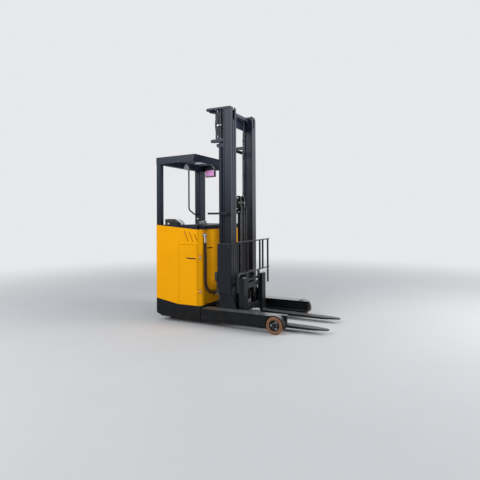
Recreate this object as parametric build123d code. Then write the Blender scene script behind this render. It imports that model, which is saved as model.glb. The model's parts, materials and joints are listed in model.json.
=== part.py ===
from build123d import *
import math
import os

# A stand-on reach truck with a three-stage mast, in millimetres. X runs forward to the fork
# tips, Y to the truck's left and Z up. The origin is on the floor, halfway between the rear
# of the body and the fork tips, on the truck's centre plane. A function is given the left
# piece of a pair, and the right one is its mirror image.

os.makedirs("parts", exist_ok=True)

# Body and base
HALF_WIDTH = 562
REAR_X = -1141
BODY_LENGTH = 692
BASE_BOTTOM = 64
BASE_LENGTH = 698
FLOOR_TOP = 237
PLATE = 12
SKIRT = 10
PANEL = 4
FIT = 0.3
PANEL_FOOT = 241
PANEL_FOOT_REAR = 300
PANEL_TOP_REAR = 1282
PANEL_TOP_FRONT = 1224
CORNER_CUT = 46
DECK_TOP = 1285
BATTERY_BAY_LENGTH = 330
DOOR_TOP = 1030

# Legs and load wheels
LEG_TOP = 218
LEG_BOTTOM = 64
LEG_END_X = 682
LEG_WALL = 12
LEG_TOP_WIDTH = 147
LEG_FOOT_WIDTH = 157
LEG_BOX_WIDTH = 110
LOAD_AXLE_X = 557
LOAD_WHEEL_RADIUS = 105
LOAD_WHEEL_WIDTH = 92
HUB_RADIUS = 66
ARCH_GAP = 9
FENDER = 7

# Drive wheel and caster
DRIVE_X = -961
DRIVE_INSET = 330
DRIVE_RADIUS = 115
DRIVE_WIDTH = 75
CASTER_X = -968
CASTER_INSET = 202
CASTER_TRAIL = 34
CASTER_RADIUS = 75
CASTER_WIDTH = 36

# Overhead guard
ROOF_TOP_REAR = 2191
ROOF_RISE = 13
ROOF_FRONT_X = -522
ROOF_RAKE = 38
FASCIA = 94
ROOF_WALL = 8
LEFT_POST_DEPTH = 98
RIGHT_POST_DEPTH = 74
RIGHT_POST_WIDTH = 66
LEFT_POST_WIDTH = 160

# Mast, at rest fully lowered and drawn back
MAST_FRONT_X = -82
MAST_GAP = 17
RAIL_DEPTH = 125
FLANGE = 14
RAIL_STEP = 4
WEB_RECESS = 8
SIDE_STRIP = 47
OUTER_RAIL_WIDTH = 48
MIDDLE_RAIL_WIDTH = 40
INNER_RAIL_WIDTH = 39
RAIL_GAP = 5
MAST_TOP = 2815
OUTER_DROP = 27
INNER_DROP = 25
RAIL_FOOT = 96
STAGE_LIFT = 1900
FREE_LIFT = 1860

# Forks and load backrest
FORK_LENGTH = 1070
FORK_TIP_X = 1141
FORK_INSET = 62
FORK_WIDTH = 120
FORK_THICKNESS = 40
FORK_FOOT = 44
FORK_TOP = 596
BACKREST_HALF_WIDTH = 508
BACKREST_TOP = 1072
BACKREST_LOW = 668

# Details
DECK_PLATE = 6
UPRIGHT_WIDTH = 24
WELL_RIM = 32
CREASE = 22
DOOR_GAP = 3
LOUVRE_WIDTH = 13
# A louvre slot from the side panel's top front corner: top x, top z, foot x, foot z
LOUVRES = [(-251, -17, -189, -157), (-172, -37, -117, -156), (-94, -57, -45, -156)]
# The pull slots, from the door's top front corner and from the front panel's top middle
DOOR_SLOT = [(-229, -163), (-206, -170), (-161, -172), (-62, -176), (-66, -189), (-151, -190), (-201, -184)]
DOOR_POCKET = [(-235, -157), (-59, -169), (-60, -196), (-206, -194)]
FRONT_SLOT = [(-390, -244), (-300, -240), (-234, -246), (-240, -256), (-330, -258)]
CONSOLE_Y = 70
CONSOLE_TOP = 1080
CONSOLE_WALL = 8
WHEEL_X = -960
WHEEL_FROM_POST = 102
STEER_RADIUS = 115
HUB_BOLTS = 5
AXLE_RADIUS = 18
DRIVE_HOLE = 135
MOTOR_SEAT = 262
MOTOR_RADIUS = 98
MOTOR_HEIGHT = 258
TURNTABLE_RADIUS = 92
CASTER_SEAT = 192
REACH_CYLINDER_Z = 150
REACH_BARREL_RADIUS = 38
REACH_ROD_RADIUS = 20
REACH_BARREL_REAR = -1056
ROOF_BEAM = 60
ROOF_SHEET = 6
ROOF_BORDER = 96
ROOF_SLITS = 6
SLIT_WIDTH = 34
ROOF_BAR = 34
RAIL_TOP_Y = 190
GRAB_RAIL_Z = (1496, 1426)
PAD_REAR = 101
PAD_THICKNESS = 70
PAD_RISE = 77
PAD_OVER = 53
PAD_DROP = 130
CONTROL_BOX_REAR = 214
CONTROL_BOX_LENGTH = 64
CONTROL_BOX_Y = (-238, -152)
CONTROL_BASE_Y = (-316, -146)
CARRIAGE_REAR_X = -370
CARRIAGE_FRONT_X = -10
CARRIAGE_LOW = 92
CARRIAGE_TAIL_TOP = 205
CARRIAGE_SHOULDER_X = -272
CARRIAGE_HIGH = 400
SIDE_RAIL_X = (-404, -122)
SIDE_RAIL_HALF = 13
SIDE_RAIL_Z = 1430
JUNCTION_Z = (561, 673)
JUNCTION_LENGTH = 36
RAIL_WEB = 10
TIE_REAR_X = -300
OUTER_TIE_WIDTH = 88
OUTER_TIE_DROP = (518, 478)
BRACKET_DROP = (448, 416)
BRACKET_TIP_X = -405
LIFT_X = -250
LIFT_INSET = 38
LIFT_BARREL_RADIUS = 34
LIFT_ROD_RADIUS = 18
LIFT_FOOT = 112
TOP_PLATE = 26
TOP_PLATE_TIP_X = -474
HEAD_PLATE_X = -358
MIDDLE_FOOT_TIE_Z = (160, 250)
MIDDLE_TIE_DROP = (196, 25)
FREE_X = -150
FREE_RADIUS = 40
FREE_ROD_RADIUS = 24
FREE_FOOT = 140
FREE_TOP = 1500
CROSSHEAD_Z = 1565
CHAIN_SHEAVE_Z = 1636
HOSE_SHEAVE_Z = 1492
CHAIN_SHEAVE_RADIUS = 36
CHAIN_SHEAVE_WIDTH = 18
HOSE_SHEAVE_RADIUS = 54
HOSE_SHEAVE_WIDTH = 20
CHEEK = 12
CHAIN_Y = 55
HOSE_Y = 78
CHAIN_WIDTH = 9.4
CHAIN_DEPTH = 9
CHAIN_BRACKET_Z = (1428, 1448)
CHAIN_LUG_Z = (600, 624)
CARRIAGE_FOOT = 110
CARRIAGE_TOP = 650
CARRIAGE_BAR_X = -58
PIVOT_X = -22
PIVOT_Z = 152
PIN_RADIUS = 13
FRAME_DEPTH = 26
FRAME_INSET = 36
FRAME_UPRIGHT = 126
FRAME_FOOT = 120
HOOK = 30
FRAME_BARS_Z = ((150, 214), (440, 508), (536, 566))
TIP_TAPER = 190
BACKREST_X = (31, 67)
BACKREST_FOOT = 441
TILT_Y = (-140, 140)
TILT_Z = 600
TILT_ROD_RADIUS = 14
COVER_REAR_X = -272
COVER_FRONT_X = -78
COVER_DEPTH = 50
COVER_Z = (408, 1040)
HOSE_RADIUS = 10
# The two hoses' routes down the front panel, from the fittings to the clip behind the mast
OUTER_HOSE = [(-431, -480, 1098), (-431, -480, 960), (-428, -476, 820), (-426, -482, 680),
               (-427, -484, 560), (-424, -462, 455), (-414, -392, 392), (-402, -310, 372),
               (-393, -222, 372)]
INNER_HOSE = [(-431, -456, 1098), (-431, -456, 960), (-428, -450, 820), (-426, -455, 680),
              (-427, -459, 565), (-424, -440, 474), (-414, -380, 418), (-402, -305, 397),
              (-393, -222, 396)]
HINGES_Z = (430, 867)
HINGE_BACK = 13
HINGE_INSET = 16
HINGE_PIN = 3.5
HINGE_GAP = 5
TILT_GAP = 0.5
MONITOR_X = -617
MONITOR_DROP = 189
MONITOR_TURN = 76
MONITOR_WIDTH = 190
MONITOR_HEIGHT = 108
LAMP_AT = (-1027, 0)
MAT_MARGIN = 82
BATTERY_TOP = 980

# Places that several pieces share
BODY_FRONT = REAR_X + BODY_LENGTH
BASE_FRONT = REAR_X + BASE_LENGTH
BAY_REAR = BODY_FRONT - BATTERY_BAY_LENGTH
WHEEL_Y = HALF_WIDTH - LEFT_POST_WIDTH - WHEEL_FROM_POST
MONITOR_AT = (MONITOR_X, 0, ROOF_TOP_REAR - MONITOR_DROP)
DRIVE_Y = HALF_WIDTH - DRIVE_INSET
CASTER_Y = CASTER_INSET - HALF_WIDTH
HINGE_X = BODY_FRONT - HINGE_BACK
HINGE_Y = HALF_WIDTH - HINGE_INSET
WELL_HALF_WIDTH = HALF_WIDTH - WELL_RIM
ROOF_TOP_FRONT = ROOF_TOP_REAR + ROOF_RISE
LEG_TOP_LIP_Y = HALF_WIDTH - LEG_TOP_WIDTH
LEG_FOOT_LIP_Y = HALF_WIDTH - LEG_FOOT_WIDTH
LEG_WEB_Y = HALF_WIDTH - LEG_BOX_WIDTH
MAST_HALF_WIDTH = LEG_FOOT_LIP_Y - MAST_GAP
WHEEL_OUTER_Y = HALF_WIDTH - 1
WHEEL_INNER_Y = WHEEL_OUTER_Y - LOAD_WHEEL_WIDTH
AXLE_END_Y = WHEEL_OUTER_Y - 24
MAST_REAR_X = MAST_FRONT_X - RAIL_DEPTH
ROLLER_X = MAST_FRONT_X - RAIL_DEPTH / 2
MIDDLE_FRONT_X = MAST_FRONT_X - RAIL_STEP
OUTER_FRONT_X = MIDDLE_FRONT_X - RAIL_STEP
OUTER_OUT = MAST_HALF_WIDTH
OUTER_IN = OUTER_OUT - OUTER_RAIL_WIDTH
OUTER_WEB = OUTER_OUT - WEB_RECESS - RAIL_WEB
MIDDLE_OUT = OUTER_IN - RAIL_GAP
MIDDLE_IN = MIDDLE_OUT - MIDDLE_RAIL_WIDTH
INNER_OUT = MIDDLE_IN - RAIL_GAP
INNER_IN = INNER_OUT - INNER_RAIL_WIDTH
MIDDLE_WEB = MIDDLE_IN + 17
INNER_WEB = INNER_IN + 17
OUTER_TOP = MAST_TOP - OUTER_DROP
INNER_TOP = MAST_TOP - INNER_DROP
OUTER_TIE_Y = OUTER_OUT - OUTER_TIE_WIDTH
OUTER_TIE_Z = (MAST_TOP - OUTER_TIE_DROP[0], MAST_TOP - OUTER_TIE_DROP[1])
BRACKET_Z = (MAST_TOP - BRACKET_DROP[0], MAST_TOP - BRACKET_DROP[1])
LIFT_Y = OUTER_OUT - LIFT_INSET
TOP_PLATE_Z = (MAST_TOP - TOP_PLATE, MAST_TOP)
MIDDLE_TIES_Z = (MIDDLE_FOOT_TIE_Z, (MAST_TOP - MIDDLE_TIE_DROP[0], MAST_TOP - MIDDLE_TIE_DROP[1]))
FRAME_OUTER = OUTER_OUT - FRAME_INSET
FRAME_INNER = FRAME_OUTER - FRAME_UPRIGHT
FORK_Y = FRAME_OUTER - FORK_INSET
CHAIN_PITCH_RADIUS = CHAIN_SHEAVE_RADIUS - 7 + FIT + CHAIN_DEPTH / 2
SHANK_FRONT = FORK_TIP_X - FORK_LENGTH
SHANK_REAR = SHANK_FRONT - FORK_THICKNESS

PLANES = {"X": Plane.YZ, "Y": Plane.XZ, "Z": Plane.XY}
ALONG = {"X": Vector(1, 0, 0), "Y": Vector(0, 1, 0), "Z": Vector(0, 0, 1)}


def square_to(axis, at):
    """The plane square to an axis at a distance along it, with the other two axes in order."""
    base = PLANES[axis]
    return Plane(origin=ALONG[axis] * at, x_dir=base.x_dir, z_dir=base.z_dir)


def prism(axis, outline, low, high):
    """A closed outline of points run from low to high along an axis."""
    face = square_to(axis, low) * make_face(Polyline(*outline, close=True))
    return extrude(face, high - low, dir=ALONG[axis])


def block(x, y, z):
    """A box from its three spans."""
    low = (min(x), min(y), min(z))
    size = (abs(x[1] - x[0]), abs(y[1] - y[0]), abs(z[1] - z[0]))
    return Pos(*low) * Box(*size, align=(Align.MIN, Align.MIN, Align.MIN))


def round_bar(axis, at, radius, low, high):
    """A round bar along an axis, centred at the two other coordinates."""
    face = square_to(axis, low) * Pos(*at) * Circle(radius)
    return extrude(face, high - low, dir=ALONG[axis])


def ring(axis, at, inner, outer, low, high):
    """A round bar with a bore."""
    return round_bar(axis, at, outer, low, high) - round_bar(axis, at, inner, low, high)


def set_at(outline, across, up):
    """An outline moved to its place."""
    return [(a + across, b + up) for a, b in outline]


def turned(axis, at, outline):
    """A solid turned about an axis through a point, from an outline of radii and places along it."""
    solid = revolve(Plane.XZ * make_face(Polyline(*outline, close=True)), Axis.Z)
    if axis == "Y":
        solid = Rot(-90, 0, 0) * solid
    return Pos(*at) * solid


def wheel_band(centre, y, bore, radius, width, shoulder):
    """A wheel with a plain bore and sloping shoulders, its axle along Y."""
    low, high = shoulder, width - shoulder
    outline = [(bore, 0), (radius - shoulder, 0), (radius - 0.3 * shoulder, 0.3 * shoulder), (radius, low),
               (radius, high), (radius - 0.3 * shoulder, width - 0.3 * shoulder), (radius - shoulder, width),
               (bore, width)]
    return turned("Y", (centre[0], y, centre[1]), outline)


def ball(at, radius):
    """A round knob, cut flat at its top and foot."""
    side, end = 0.92 * radius, 0.38 * radius
    outline = [(0, -radius), (end, -radius), (side, -end), (side, end), (end, radius), (0, radius)]
    return turned("Z", at, outline)


def other_side(shape):
    """The same piece on the truck's right."""
    return mirror(shape, about=Plane.XZ)


def both_sides(shape):
    """The piece on the left and its mirror image on the right."""
    return [shape, other_side(shape)]


def pipe(points, radii, radius):
    """A round tube along straight runs joined by arcs."""
    path = FilletPolyline(*points, radius=radii)
    start = Plane(origin=path @ 0, z_dir=path % 0)
    return sweep(start * Circle(radius), path=path)


def save(name, *shapes):
    """Write a node's solids to one file."""
    solids = []
    for shape in shapes:
        solids += shape.solids()
    whole = solids[0] if len(solids) == 1 else Compound(solids)
    export_step(whole, f"parts/{name}.step")


def main_frame():
    """The floor plate, the front wall that carries the legs, and the wall behind the battery."""
    inner = HALF_WIDTH - SKIRT
    floor = block((REAR_X + SKIRT, BODY_FRONT), (-inner, inner), (FLOOR_TOP - PLATE, FLOOR_TOP))
    wall = block((BASE_FRONT - PLATE, BASE_FRONT), (-inner, inner), (BASE_BOTTOM, LEG_TOP))
    link = block((BODY_FRONT, BASE_FRONT), (-inner, inner), (LEG_TOP - PLATE, LEG_TOP))
    post = block((BODY_FRONT - PLATE, BODY_FRONT), (-inner, inner), (BASE_BOTTOM, FLOOR_TOP))
    bulkhead = block((BAY_REAR - PLATE, BAY_REAR), (-inner + PANEL, inner - PANEL),
                     (FLOOR_TOP, DECK_TOP - DECK_PLATE))
    for side in (-1, 1):
        for x, y in ((BAY_REAR - PLATE, inner - PANEL), (BODY_FRONT - 30, inner - 28)):
            post += block((x, x + PLATE), (side * y, side * (y - UPRIGHT_WIDTH)),
                          (FLOOR_TOP, PANEL_TOP_FRONT - 2 * PLATE))
    frame = floor + post + bulkhead + link + wall
    frame -= round_bar("X", (0, REACH_CYLINDER_Z), REACH_BARREL_RADIUS + FIT,
                       BODY_FRONT - 2 * PLATE, BASE_FRONT + 1)
    frame -= round_bar("Z", (DRIVE_X, DRIVE_Y), DRIVE_HOLE, 0, FLOOR_TOP + 1)
    boss = round_bar("Z", (CASTER_X, CASTER_Y), 50, CASTER_SEAT, FLOOR_TOP - PLATE)
    return frame + boss


def base_skirt():
    """The black skirt round the rear of the base, open below, its rear corner cut back."""
    rear_cut = 92
    outline = [(REAR_X, BASE_BOTTOM + 40), (REAR_X + rear_cut, BASE_BOTTOM),
               (BASE_FRONT - PLATE, BASE_BOTTOM), (BASE_FRONT - PLATE, LEG_TOP),
               (BODY_FRONT, LEG_TOP), (BODY_FRONT, PANEL_FOOT), (BAY_REAR, PANEL_FOOT),
               (REAR_X, PANEL_FOOT_REAR)]
    side = prism("Y", outline, HALF_WIDTH - SKIRT, HALF_WIDTH)
    rear = block((REAR_X, REAR_X + SKIRT), (-HALF_WIDTH + SKIRT, HALF_WIDTH - SKIRT),
                 (BASE_BOTTOM + 40, FLOOR_TOP))
    return side + other_side(side) + rear


def leg():
    """A straddle leg: a box outside, a channel for the mast's rollers inside, an arch at the front."""
    arch = LOAD_WHEEL_RADIUS + ARCH_GAP
    inner_web = LEG_WEB_Y + LEG_WALL
    section = [(HALF_WIDTH, LEG_BOTTOM), (HALF_WIDTH, LEG_TOP), (LEG_TOP_LIP_Y, LEG_TOP),
               (LEG_TOP_LIP_Y, LEG_TOP - LEG_WALL), (LEG_WEB_Y, LEG_TOP - LEG_WALL),
               (LEG_WEB_Y, LEG_BOTTOM + 22), (LEG_FOOT_LIP_Y, LEG_BOTTOM + 22),
               (LEG_FOOT_LIP_Y, LEG_BOTTOM)]
    body = prism("X", section, BASE_FRONT, LEG_END_X)
    body -= block((BASE_FRONT, LOAD_AXLE_X - arch - LEG_WALL), (inner_web, HALF_WIDTH - LEG_WALL),
                  (LEG_BOTTOM + LEG_WALL, LEG_TOP - LEG_WALL))
    body -= round_bar("Y", (LOAD_AXLE_X, LOAD_WHEEL_RADIUS), arch, inner_web, HALF_WIDTH + 1)
    body -= block((LOAD_AXLE_X - arch, LOAD_AXLE_X), (inner_web, HALF_WIDTH + 1), (0, LOAD_WHEEL_RADIUS))
    body -= block((LOAD_AXLE_X, LEG_END_X + 1), (inner_web, HALF_WIDTH + 1), (0, LEG_TOP + 1))
    nose = [(LEG_END_X - 50, LEG_BOTTOM - 1), (LEG_END_X + 1, LEG_BOTTOM - 1),
            (LEG_END_X + 1, LEG_BOTTOM + 50)]
    body -= prism("Y", nose, LEG_FOOT_LIP_Y - 1, HALF_WIDTH)
    stop = block((LEG_END_X - 22, LEG_END_X - 10), (LEG_TOP_LIP_Y, LEG_WEB_Y),
                 (LEG_BOTTOM + 22, LEG_TOP - LEG_WALL))
    guard = ring("Y", (LOAD_AXLE_X, LOAD_WHEEL_RADIUS), arch, arch + FENDER, inner_web, HALF_WIDTH)
    guard -= prism("Y", fender_opening(arch + FENDER + 2), inner_web - 1, HALF_WIDTH + 1)
    axle = round_bar("Y", (LOAD_AXLE_X, LOAD_WHEEL_RADIUS), AXLE_RADIUS, inner_web, AXLE_END_Y)
    return body + stop + guard + axle


def fender_opening(reach):
    """The part of the fender's circle that is left open: below it, from the arch to the front."""
    start, end = math.radians(180), math.radians(344)
    centre = (LOAD_AXLE_X, LOAD_WHEEL_RADIUS)
    corners = [start, math.radians(225), math.radians(270), math.radians(315), end]
    far = 1.5 * reach
    return [centre] + [(centre[0] + far * math.cos(a), centre[1] + far * math.sin(a))
                       for a in corners]


def load_hub():
    """The black wheel hub with its cap, five bolt heads and the bore for the axle."""
    low, high = WHEEL_INNER_Y, WHEEL_OUTER_Y
    centre = (LOAD_AXLE_X, LOAD_WHEEL_RADIUS)
    hub = round_bar("Y", centre, HUB_RADIUS, low, high - 4)
    hub -= ring("Y", centre, 30, HUB_RADIUS - 10, high - 16, high)
    hub += round_bar("Y", centre, 24, high - 16, high)
    hub -= round_bar("Y", centre, AXLE_RADIUS + FIT, low, AXLE_END_Y + 2)
    for step in range(HUB_BOLTS):
        angle = math.radians(90 + 360 / HUB_BOLTS * step)
        at = (centre[0] + 44 * math.cos(angle), centre[1] + 44 * math.sin(angle))
        hub += round_bar("Y", at, 7, high - 18, high - 8)
    return hub


def load_tyre():
    """The polyurethane tyre, its edges sloped off."""
    return wheel_band((LOAD_AXLE_X, LOAD_WHEEL_RADIUS), WHEEL_INNER_Y, HUB_RADIUS, LOAD_WHEEL_RADIUS,
                      LOAD_WHEEL_WIDTH, 8)


def side_panel(has_door):
    """A yellow side panel, its top sloping down to the front; the right one is cut for the door."""
    inner = HALF_WIDTH - PANEL
    front = BODY_FRONT - CORNER_CUT
    outline = [(REAR_X, PANEL_FOOT_REAR + FIT), (BAY_REAR, PANEL_FOOT + FIT), (front, PANEL_FOOT + FIT),
               (front, PANEL_TOP_FRONT), (REAR_X, PANEL_TOP_REAR)]
    panel = prism("Y", outline, inner, HALF_WIDTH)
    if has_door:
        panel -= block((BAY_REAR, front + 1), (inner - 1, HALF_WIDTH + 1), (PANEL_FOOT - 1, DOOR_TOP))
        for top_x, top_z, foot_x, foot_z in LOUVRES:
            slot = [(top_x, top_z), (top_x + LOUVRE_WIDTH, top_z),
                    (foot_x + LOUVRE_WIDTH, foot_z), (foot_x, foot_z)]
            panel -= prism("Y", set_at(slot, BODY_FRONT, PANEL_TOP_FRONT), inner - 1, HALF_WIDTH + 1)
    return panel


def battery_door():
    """The right-hand door over the battery, hinged at the front corner, with a pull slot."""
    inner = HALF_WIDTH - PANEL
    front = BODY_FRONT - CORNER_CUT
    edge = front - HINGE_GAP
    door = block((BAY_REAR + DOOR_GAP, edge), (inner, HALF_WIDTH), (PANEL_FOOT + DOOR_GAP, DOOR_TOP - DOOR_GAP))
    strap = [(edge - 1, HALF_WIDTH), (edge - 1, inner), (HINGE_X - 22, HINGE_Y + 6), (HINGE_X - 4, HINGE_Y - 2),
             (HINGE_X - 2, HINGE_Y + 5), (HINGE_X - 20, HINGE_Y + 12)]
    for z in HINGES_Z:
        knuckle = prism("Z", strap, z - 14, z + 14)
        knuckle += round_bar("Z", (HINGE_X, HINGE_Y), 7, z - 14, z + 14)
        door += knuckle - round_bar("Z", (HINGE_X, HINGE_Y), HINGE_PIN + FIT, z - 15, z + 15)
    door += prism("Y", set_at(DOOR_POCKET, BODY_FRONT, DOOR_TOP), inner - 20, inner)
    return door - prism("Y", set_at(DOOR_SLOT, BODY_FRONT, DOOR_TOP), inner - 16, HALF_WIDTH + 1)


def front_panel():
    """The creased yellow front with its cut corners and a pull slot."""
    rear = BODY_FRONT - PANEL
    corner = HALF_WIDTH - CORNER_CUT
    outer = [(BODY_FRONT - CORNER_CUT, HALF_WIDTH), (BODY_FRONT, corner), (BODY_FRONT, corner - 60),
             (BODY_FRONT - CREASE, corner - 130), (BODY_FRONT, corner - 230)]
    inner = [(rear, corner - 230), (rear - CREASE, corner - 130), (rear, corner - 60),
             (rear, corner - PANEL), (BODY_FRONT - CORNER_CUT, HALF_WIDTH - PANEL)]
    half = outer + [(BODY_FRONT, 0), (rear, 0)] + inner
    wall = prism("Z", half, PANEL_FOOT + FIT, PANEL_TOP_FRONT)
    wall += other_side(wall)
    wall -= prism("X", set_at(FRONT_SLOT, 0, PANEL_TOP_FRONT), BODY_FRONT - CREASE - 2 * PANEL, BODY_FRONT + 1)
    for z in HINGES_Z:
        wall -= block((BODY_FRONT - CORNER_CUT - 1, HINGE_X - 14), (-HALF_WIDTH - 1, -HINGE_Y + 8),
                      (z - 18, z + 18))
    return wall


def deck_cover():
    """The black cover over the battery bay, with side rails running back above the panels."""
    front = BODY_FRONT
    slope = (PANEL_TOP_REAR - PANEL_TOP_FRONT) / (front - CORNER_CUT - REAR_X)
    rail_end = REAR_X + RIGHT_POST_DEPTH + FIT
    rail_top = PANEL_TOP_FRONT + slope * (front - CORNER_CUT - rail_end)
    outline = [(rail_end, rail_top + FIT), (front - CORNER_CUT, PANEL_TOP_FRONT + FIT),
               (front + 4, PANEL_TOP_FRONT + FIT), (front + 4, DECK_TOP - 14),
               (front - 10, DECK_TOP), (rail_end, DECK_TOP)]
    cover = prism("Y", outline, -HALF_WIDTH, HALF_WIDTH)
    cover = cover - block((front - CORNER_CUT, front + 5), (HALF_WIDTH - CORNER_CUT, HALF_WIDTH + 1),
                          (0, DECK_TOP + 1))
    cover = cover - block((front - CORNER_CUT, front + 5), (-HALF_WIDTH - 1, CORNER_CUT - HALF_WIDTH),
                          (0, DECK_TOP + 1))
    corner = [(front - CORNER_CUT, HALF_WIDTH), (front + 4, HALF_WIDTH - CORNER_CUT - 4),
              (front - CORNER_CUT, HALF_WIDTH - CORNER_CUT - 4)]
    wedge = prism("Z", corner, PANEL_TOP_FRONT + FIT, DECK_TOP)
    cover = cover + wedge + other_side(wedge)
    well = block((REAR_X, BAY_REAR - PLATE - DECK_PLATE), (-WELL_HALF_WIDTH, WELL_HALF_WIDTH),
                 (0, DECK_TOP + 1))
    under = block((BAY_REAR - PLATE - FIT, front - 2 * PLATE), (PANEL - HALF_WIDTH, HALF_WIDTH - PANEL),
                  (0, DECK_TOP - DECK_PLATE))
    post = block((REAR_X, REAR_X + LEFT_POST_DEPTH + FIT), (0, HALF_WIDTH + 1), (0, DECK_TOP + 1))
    return cover - well - under - post


def drive_console():
    """The closed housing over the drive unit at the rear left, beside the operator."""
    inner = HALF_WIDTH - SKIRT
    side = CONSOLE_Y
    front = BAY_REAR - PLATE - FIT
    outline = [(REAR_X + SKIRT, FLOOR_TOP + FIT), (front, FLOOR_TOP + FIT), (front, CONSOLE_TOP),
               (REAR_X + SKIRT + 60, CONSOLE_TOP), (REAR_X + SKIRT, CONSOLE_TOP - 60)]
    shell = prism("Y", outline, side, inner - FIT)
    room = block((REAR_X + SKIRT + CONSOLE_WALL, front - CONSOLE_WALL),
                 (side + CONSOLE_WALL, inner - CONSOLE_WALL), (0, CONSOLE_TOP - 70))
    shell -= room
    corner = LEFT_POST_DEPTH - SKIRT
    shell -= block((REAR_X, REAR_X + SKIRT + corner + FIT),
                   (HALF_WIDTH - LEFT_POST_WIDTH - FIT, HALF_WIDTH + 1), (0, CONSOLE_TOP + 1))
    return shell


def rear_post(width, depth):
    """A square rear post of the overhead guard, from the floor plate to the roof."""
    inner = HALF_WIDTH - width
    top = ROOF_TOP_REAR - FASCIA
    post = block((REAR_X, REAR_X + depth), (inner, HALF_WIDTH), (PANEL_TOP_REAR + FIT, top))
    foot = block((REAR_X + SKIRT + FIT, REAR_X + depth), (inner, HALF_WIDTH - SKIRT - FIT),
                 (FLOOR_TOP + FIT, PANEL_TOP_REAR + FIT))
    upright = fillet(post.edges().filter_by(Axis.Z), 9)
    return upright + foot


def roof_z(x):
    """The height of the sloping roof's top at a place along the truck."""
    share = (x - REAR_X) / (ROOF_FRONT_X - REAR_X)
    return ROOF_TOP_REAR + share * (ROOF_TOP_FRONT - ROOF_TOP_REAR)


def roof_frame():
    """The guard's roof: a deep raked rim with slanted bars between its front and rear beams."""
    front = ROOF_FRONT_X
    outline = [(REAR_X, ROOF_TOP_REAR - FASCIA + FIT), (front - ROOF_RAKE, ROOF_TOP_FRONT - FASCIA + 7),
               (front, ROOF_TOP_FRONT), (REAR_X, ROOF_TOP_REAR)]
    rim = prism("Y", outline, -HALF_WIDTH, HALF_WIDTH)
    inner_low = -HALF_WIDTH + ROOF_WALL
    low_x, high_x = REAR_X + ROOF_BORDER, front - ROOF_BORDER
    opening = [(REAR_X + ROOF_BEAM, 0), (front - ROOF_RAKE - ROOF_WALL, 0),
               (front - ROOF_RAKE - ROOF_WALL, ROOF_TOP_FRONT - FASCIA + 7),
               (front - ROOF_BEAM, ROOF_TOP_REAR + 99), (REAR_X + ROOF_BEAM, ROOF_TOP_REAR + 99)]
    rim -= prism("Y", opening, inner_low, HALF_WIDTH - ROOF_WALL)
    low = [(REAR_X + 2, ROOF_TOP_REAR - ROOF_SHEET), (front - 4, ROOF_TOP_FRONT - ROOF_SHEET),
           (front - 4, ROOF_TOP_FRONT), (REAR_X + 2, ROOF_TOP_REAR)]
    sheet = prism("Y", low, inner_low, HALF_WIDTH - ROOF_WALL)
    pitch = (2 * HALF_WIDTH - 2 * ROOF_BORDER + SLIT_WIDTH) / ROOF_SLITS
    for step in range(ROOF_SLITS):
        y = -HALF_WIDTH + ROOF_BORDER + pitch * step
        sheet -= block((low_x, high_x), (y, y + pitch - SLIT_WIDTH),
                       (ROOF_TOP_REAR - 99, ROOF_TOP_REAR + 99))
    bars = []
    for step in range(1, ROOF_SLITS):
        y = -HALF_WIDTH + ROOF_BORDER + pitch * step - SLIT_WIDTH
        bars.append(prism("Y", [(low_x, roof_z(low_x) - ROOF_BAR), (high_x, roof_z(high_x) - ROOF_BAR),
                                (high_x, roof_z(high_x) - 1), (low_x, roof_z(low_x) - 1)],
                          y, y + SLIT_WIDTH))
    roof = rim + sheet
    for bar in bars:
        roof += bar
    return roof


def grab_rail():
    """The bent handrail from the roof's rear beam down and across to the left post."""
    x = REAR_X + ROOF_BEAM / 2
    points = [(x, RAIL_TOP_Y, ROOF_TOP_REAR - FASCIA), (x, RAIL_TOP_Y, GRAB_RAIL_Z[0]),
              (x, HALF_WIDTH - LEFT_POST_WIDTH - 60, GRAB_RAIL_Z[1]),
              (x, HALF_WIDTH - LEFT_POST_WIDTH - FIT, GRAB_RAIL_Z[1])]
    return pipe(points, [60, 80], 11)


def backrest_pad():
    """The padded hip rest along the compartment's right wall, rounded at its front end."""
    front = BAY_REAR - PLATE - DECK_PLATE - FIT
    rear, foot, top = REAR_X + PAD_REAR, DECK_TOP - PAD_DROP, DECK_TOP + PAD_RISE
    over = front + PAD_OVER
    seat = DECK_TOP + FIT
    outline = [(rear, foot), (front, foot), (front, seat), (over, seat), (over, seat + 7), (over - 30, top - 40),
               (over - 70, top - 16), (over - 108, top - 3), (over - 130, top), (rear, top)]
    low = -(WELL_HALF_WIDTH - FIT)
    return prism("Y", outline, low, low + PAD_THICKNESS)


def control_box():
    """The control box on the front deck: a base plate, the sloping box and the lever with its knob."""
    rear = BODY_FRONT - CONTROL_BOX_REAR
    front = rear + CONTROL_BOX_LENGTH
    base = block((rear - 20, front + 10), CONTROL_BASE_Y, (DECK_TOP + FIT, DECK_TOP + 8))
    outline = [(rear, DECK_TOP + 7), (front, DECK_TOP + 7), (front, DECK_TOP + 50), (rear, DECK_TOP + 38)]
    at = (rear + 10, CONTROL_BASE_Y[0] + 24)
    stem = round_bar("Z", at, 8, DECK_TOP + 7, DECK_TOP + 70)
    stem += round_bar("Z", at, 16, DECK_TOP + 7, DECK_TOP + 22)
    return base + prism("Y", outline, *CONTROL_BOX_Y) + stem + ball((*at, DECK_TOP + 74), 15)


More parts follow.
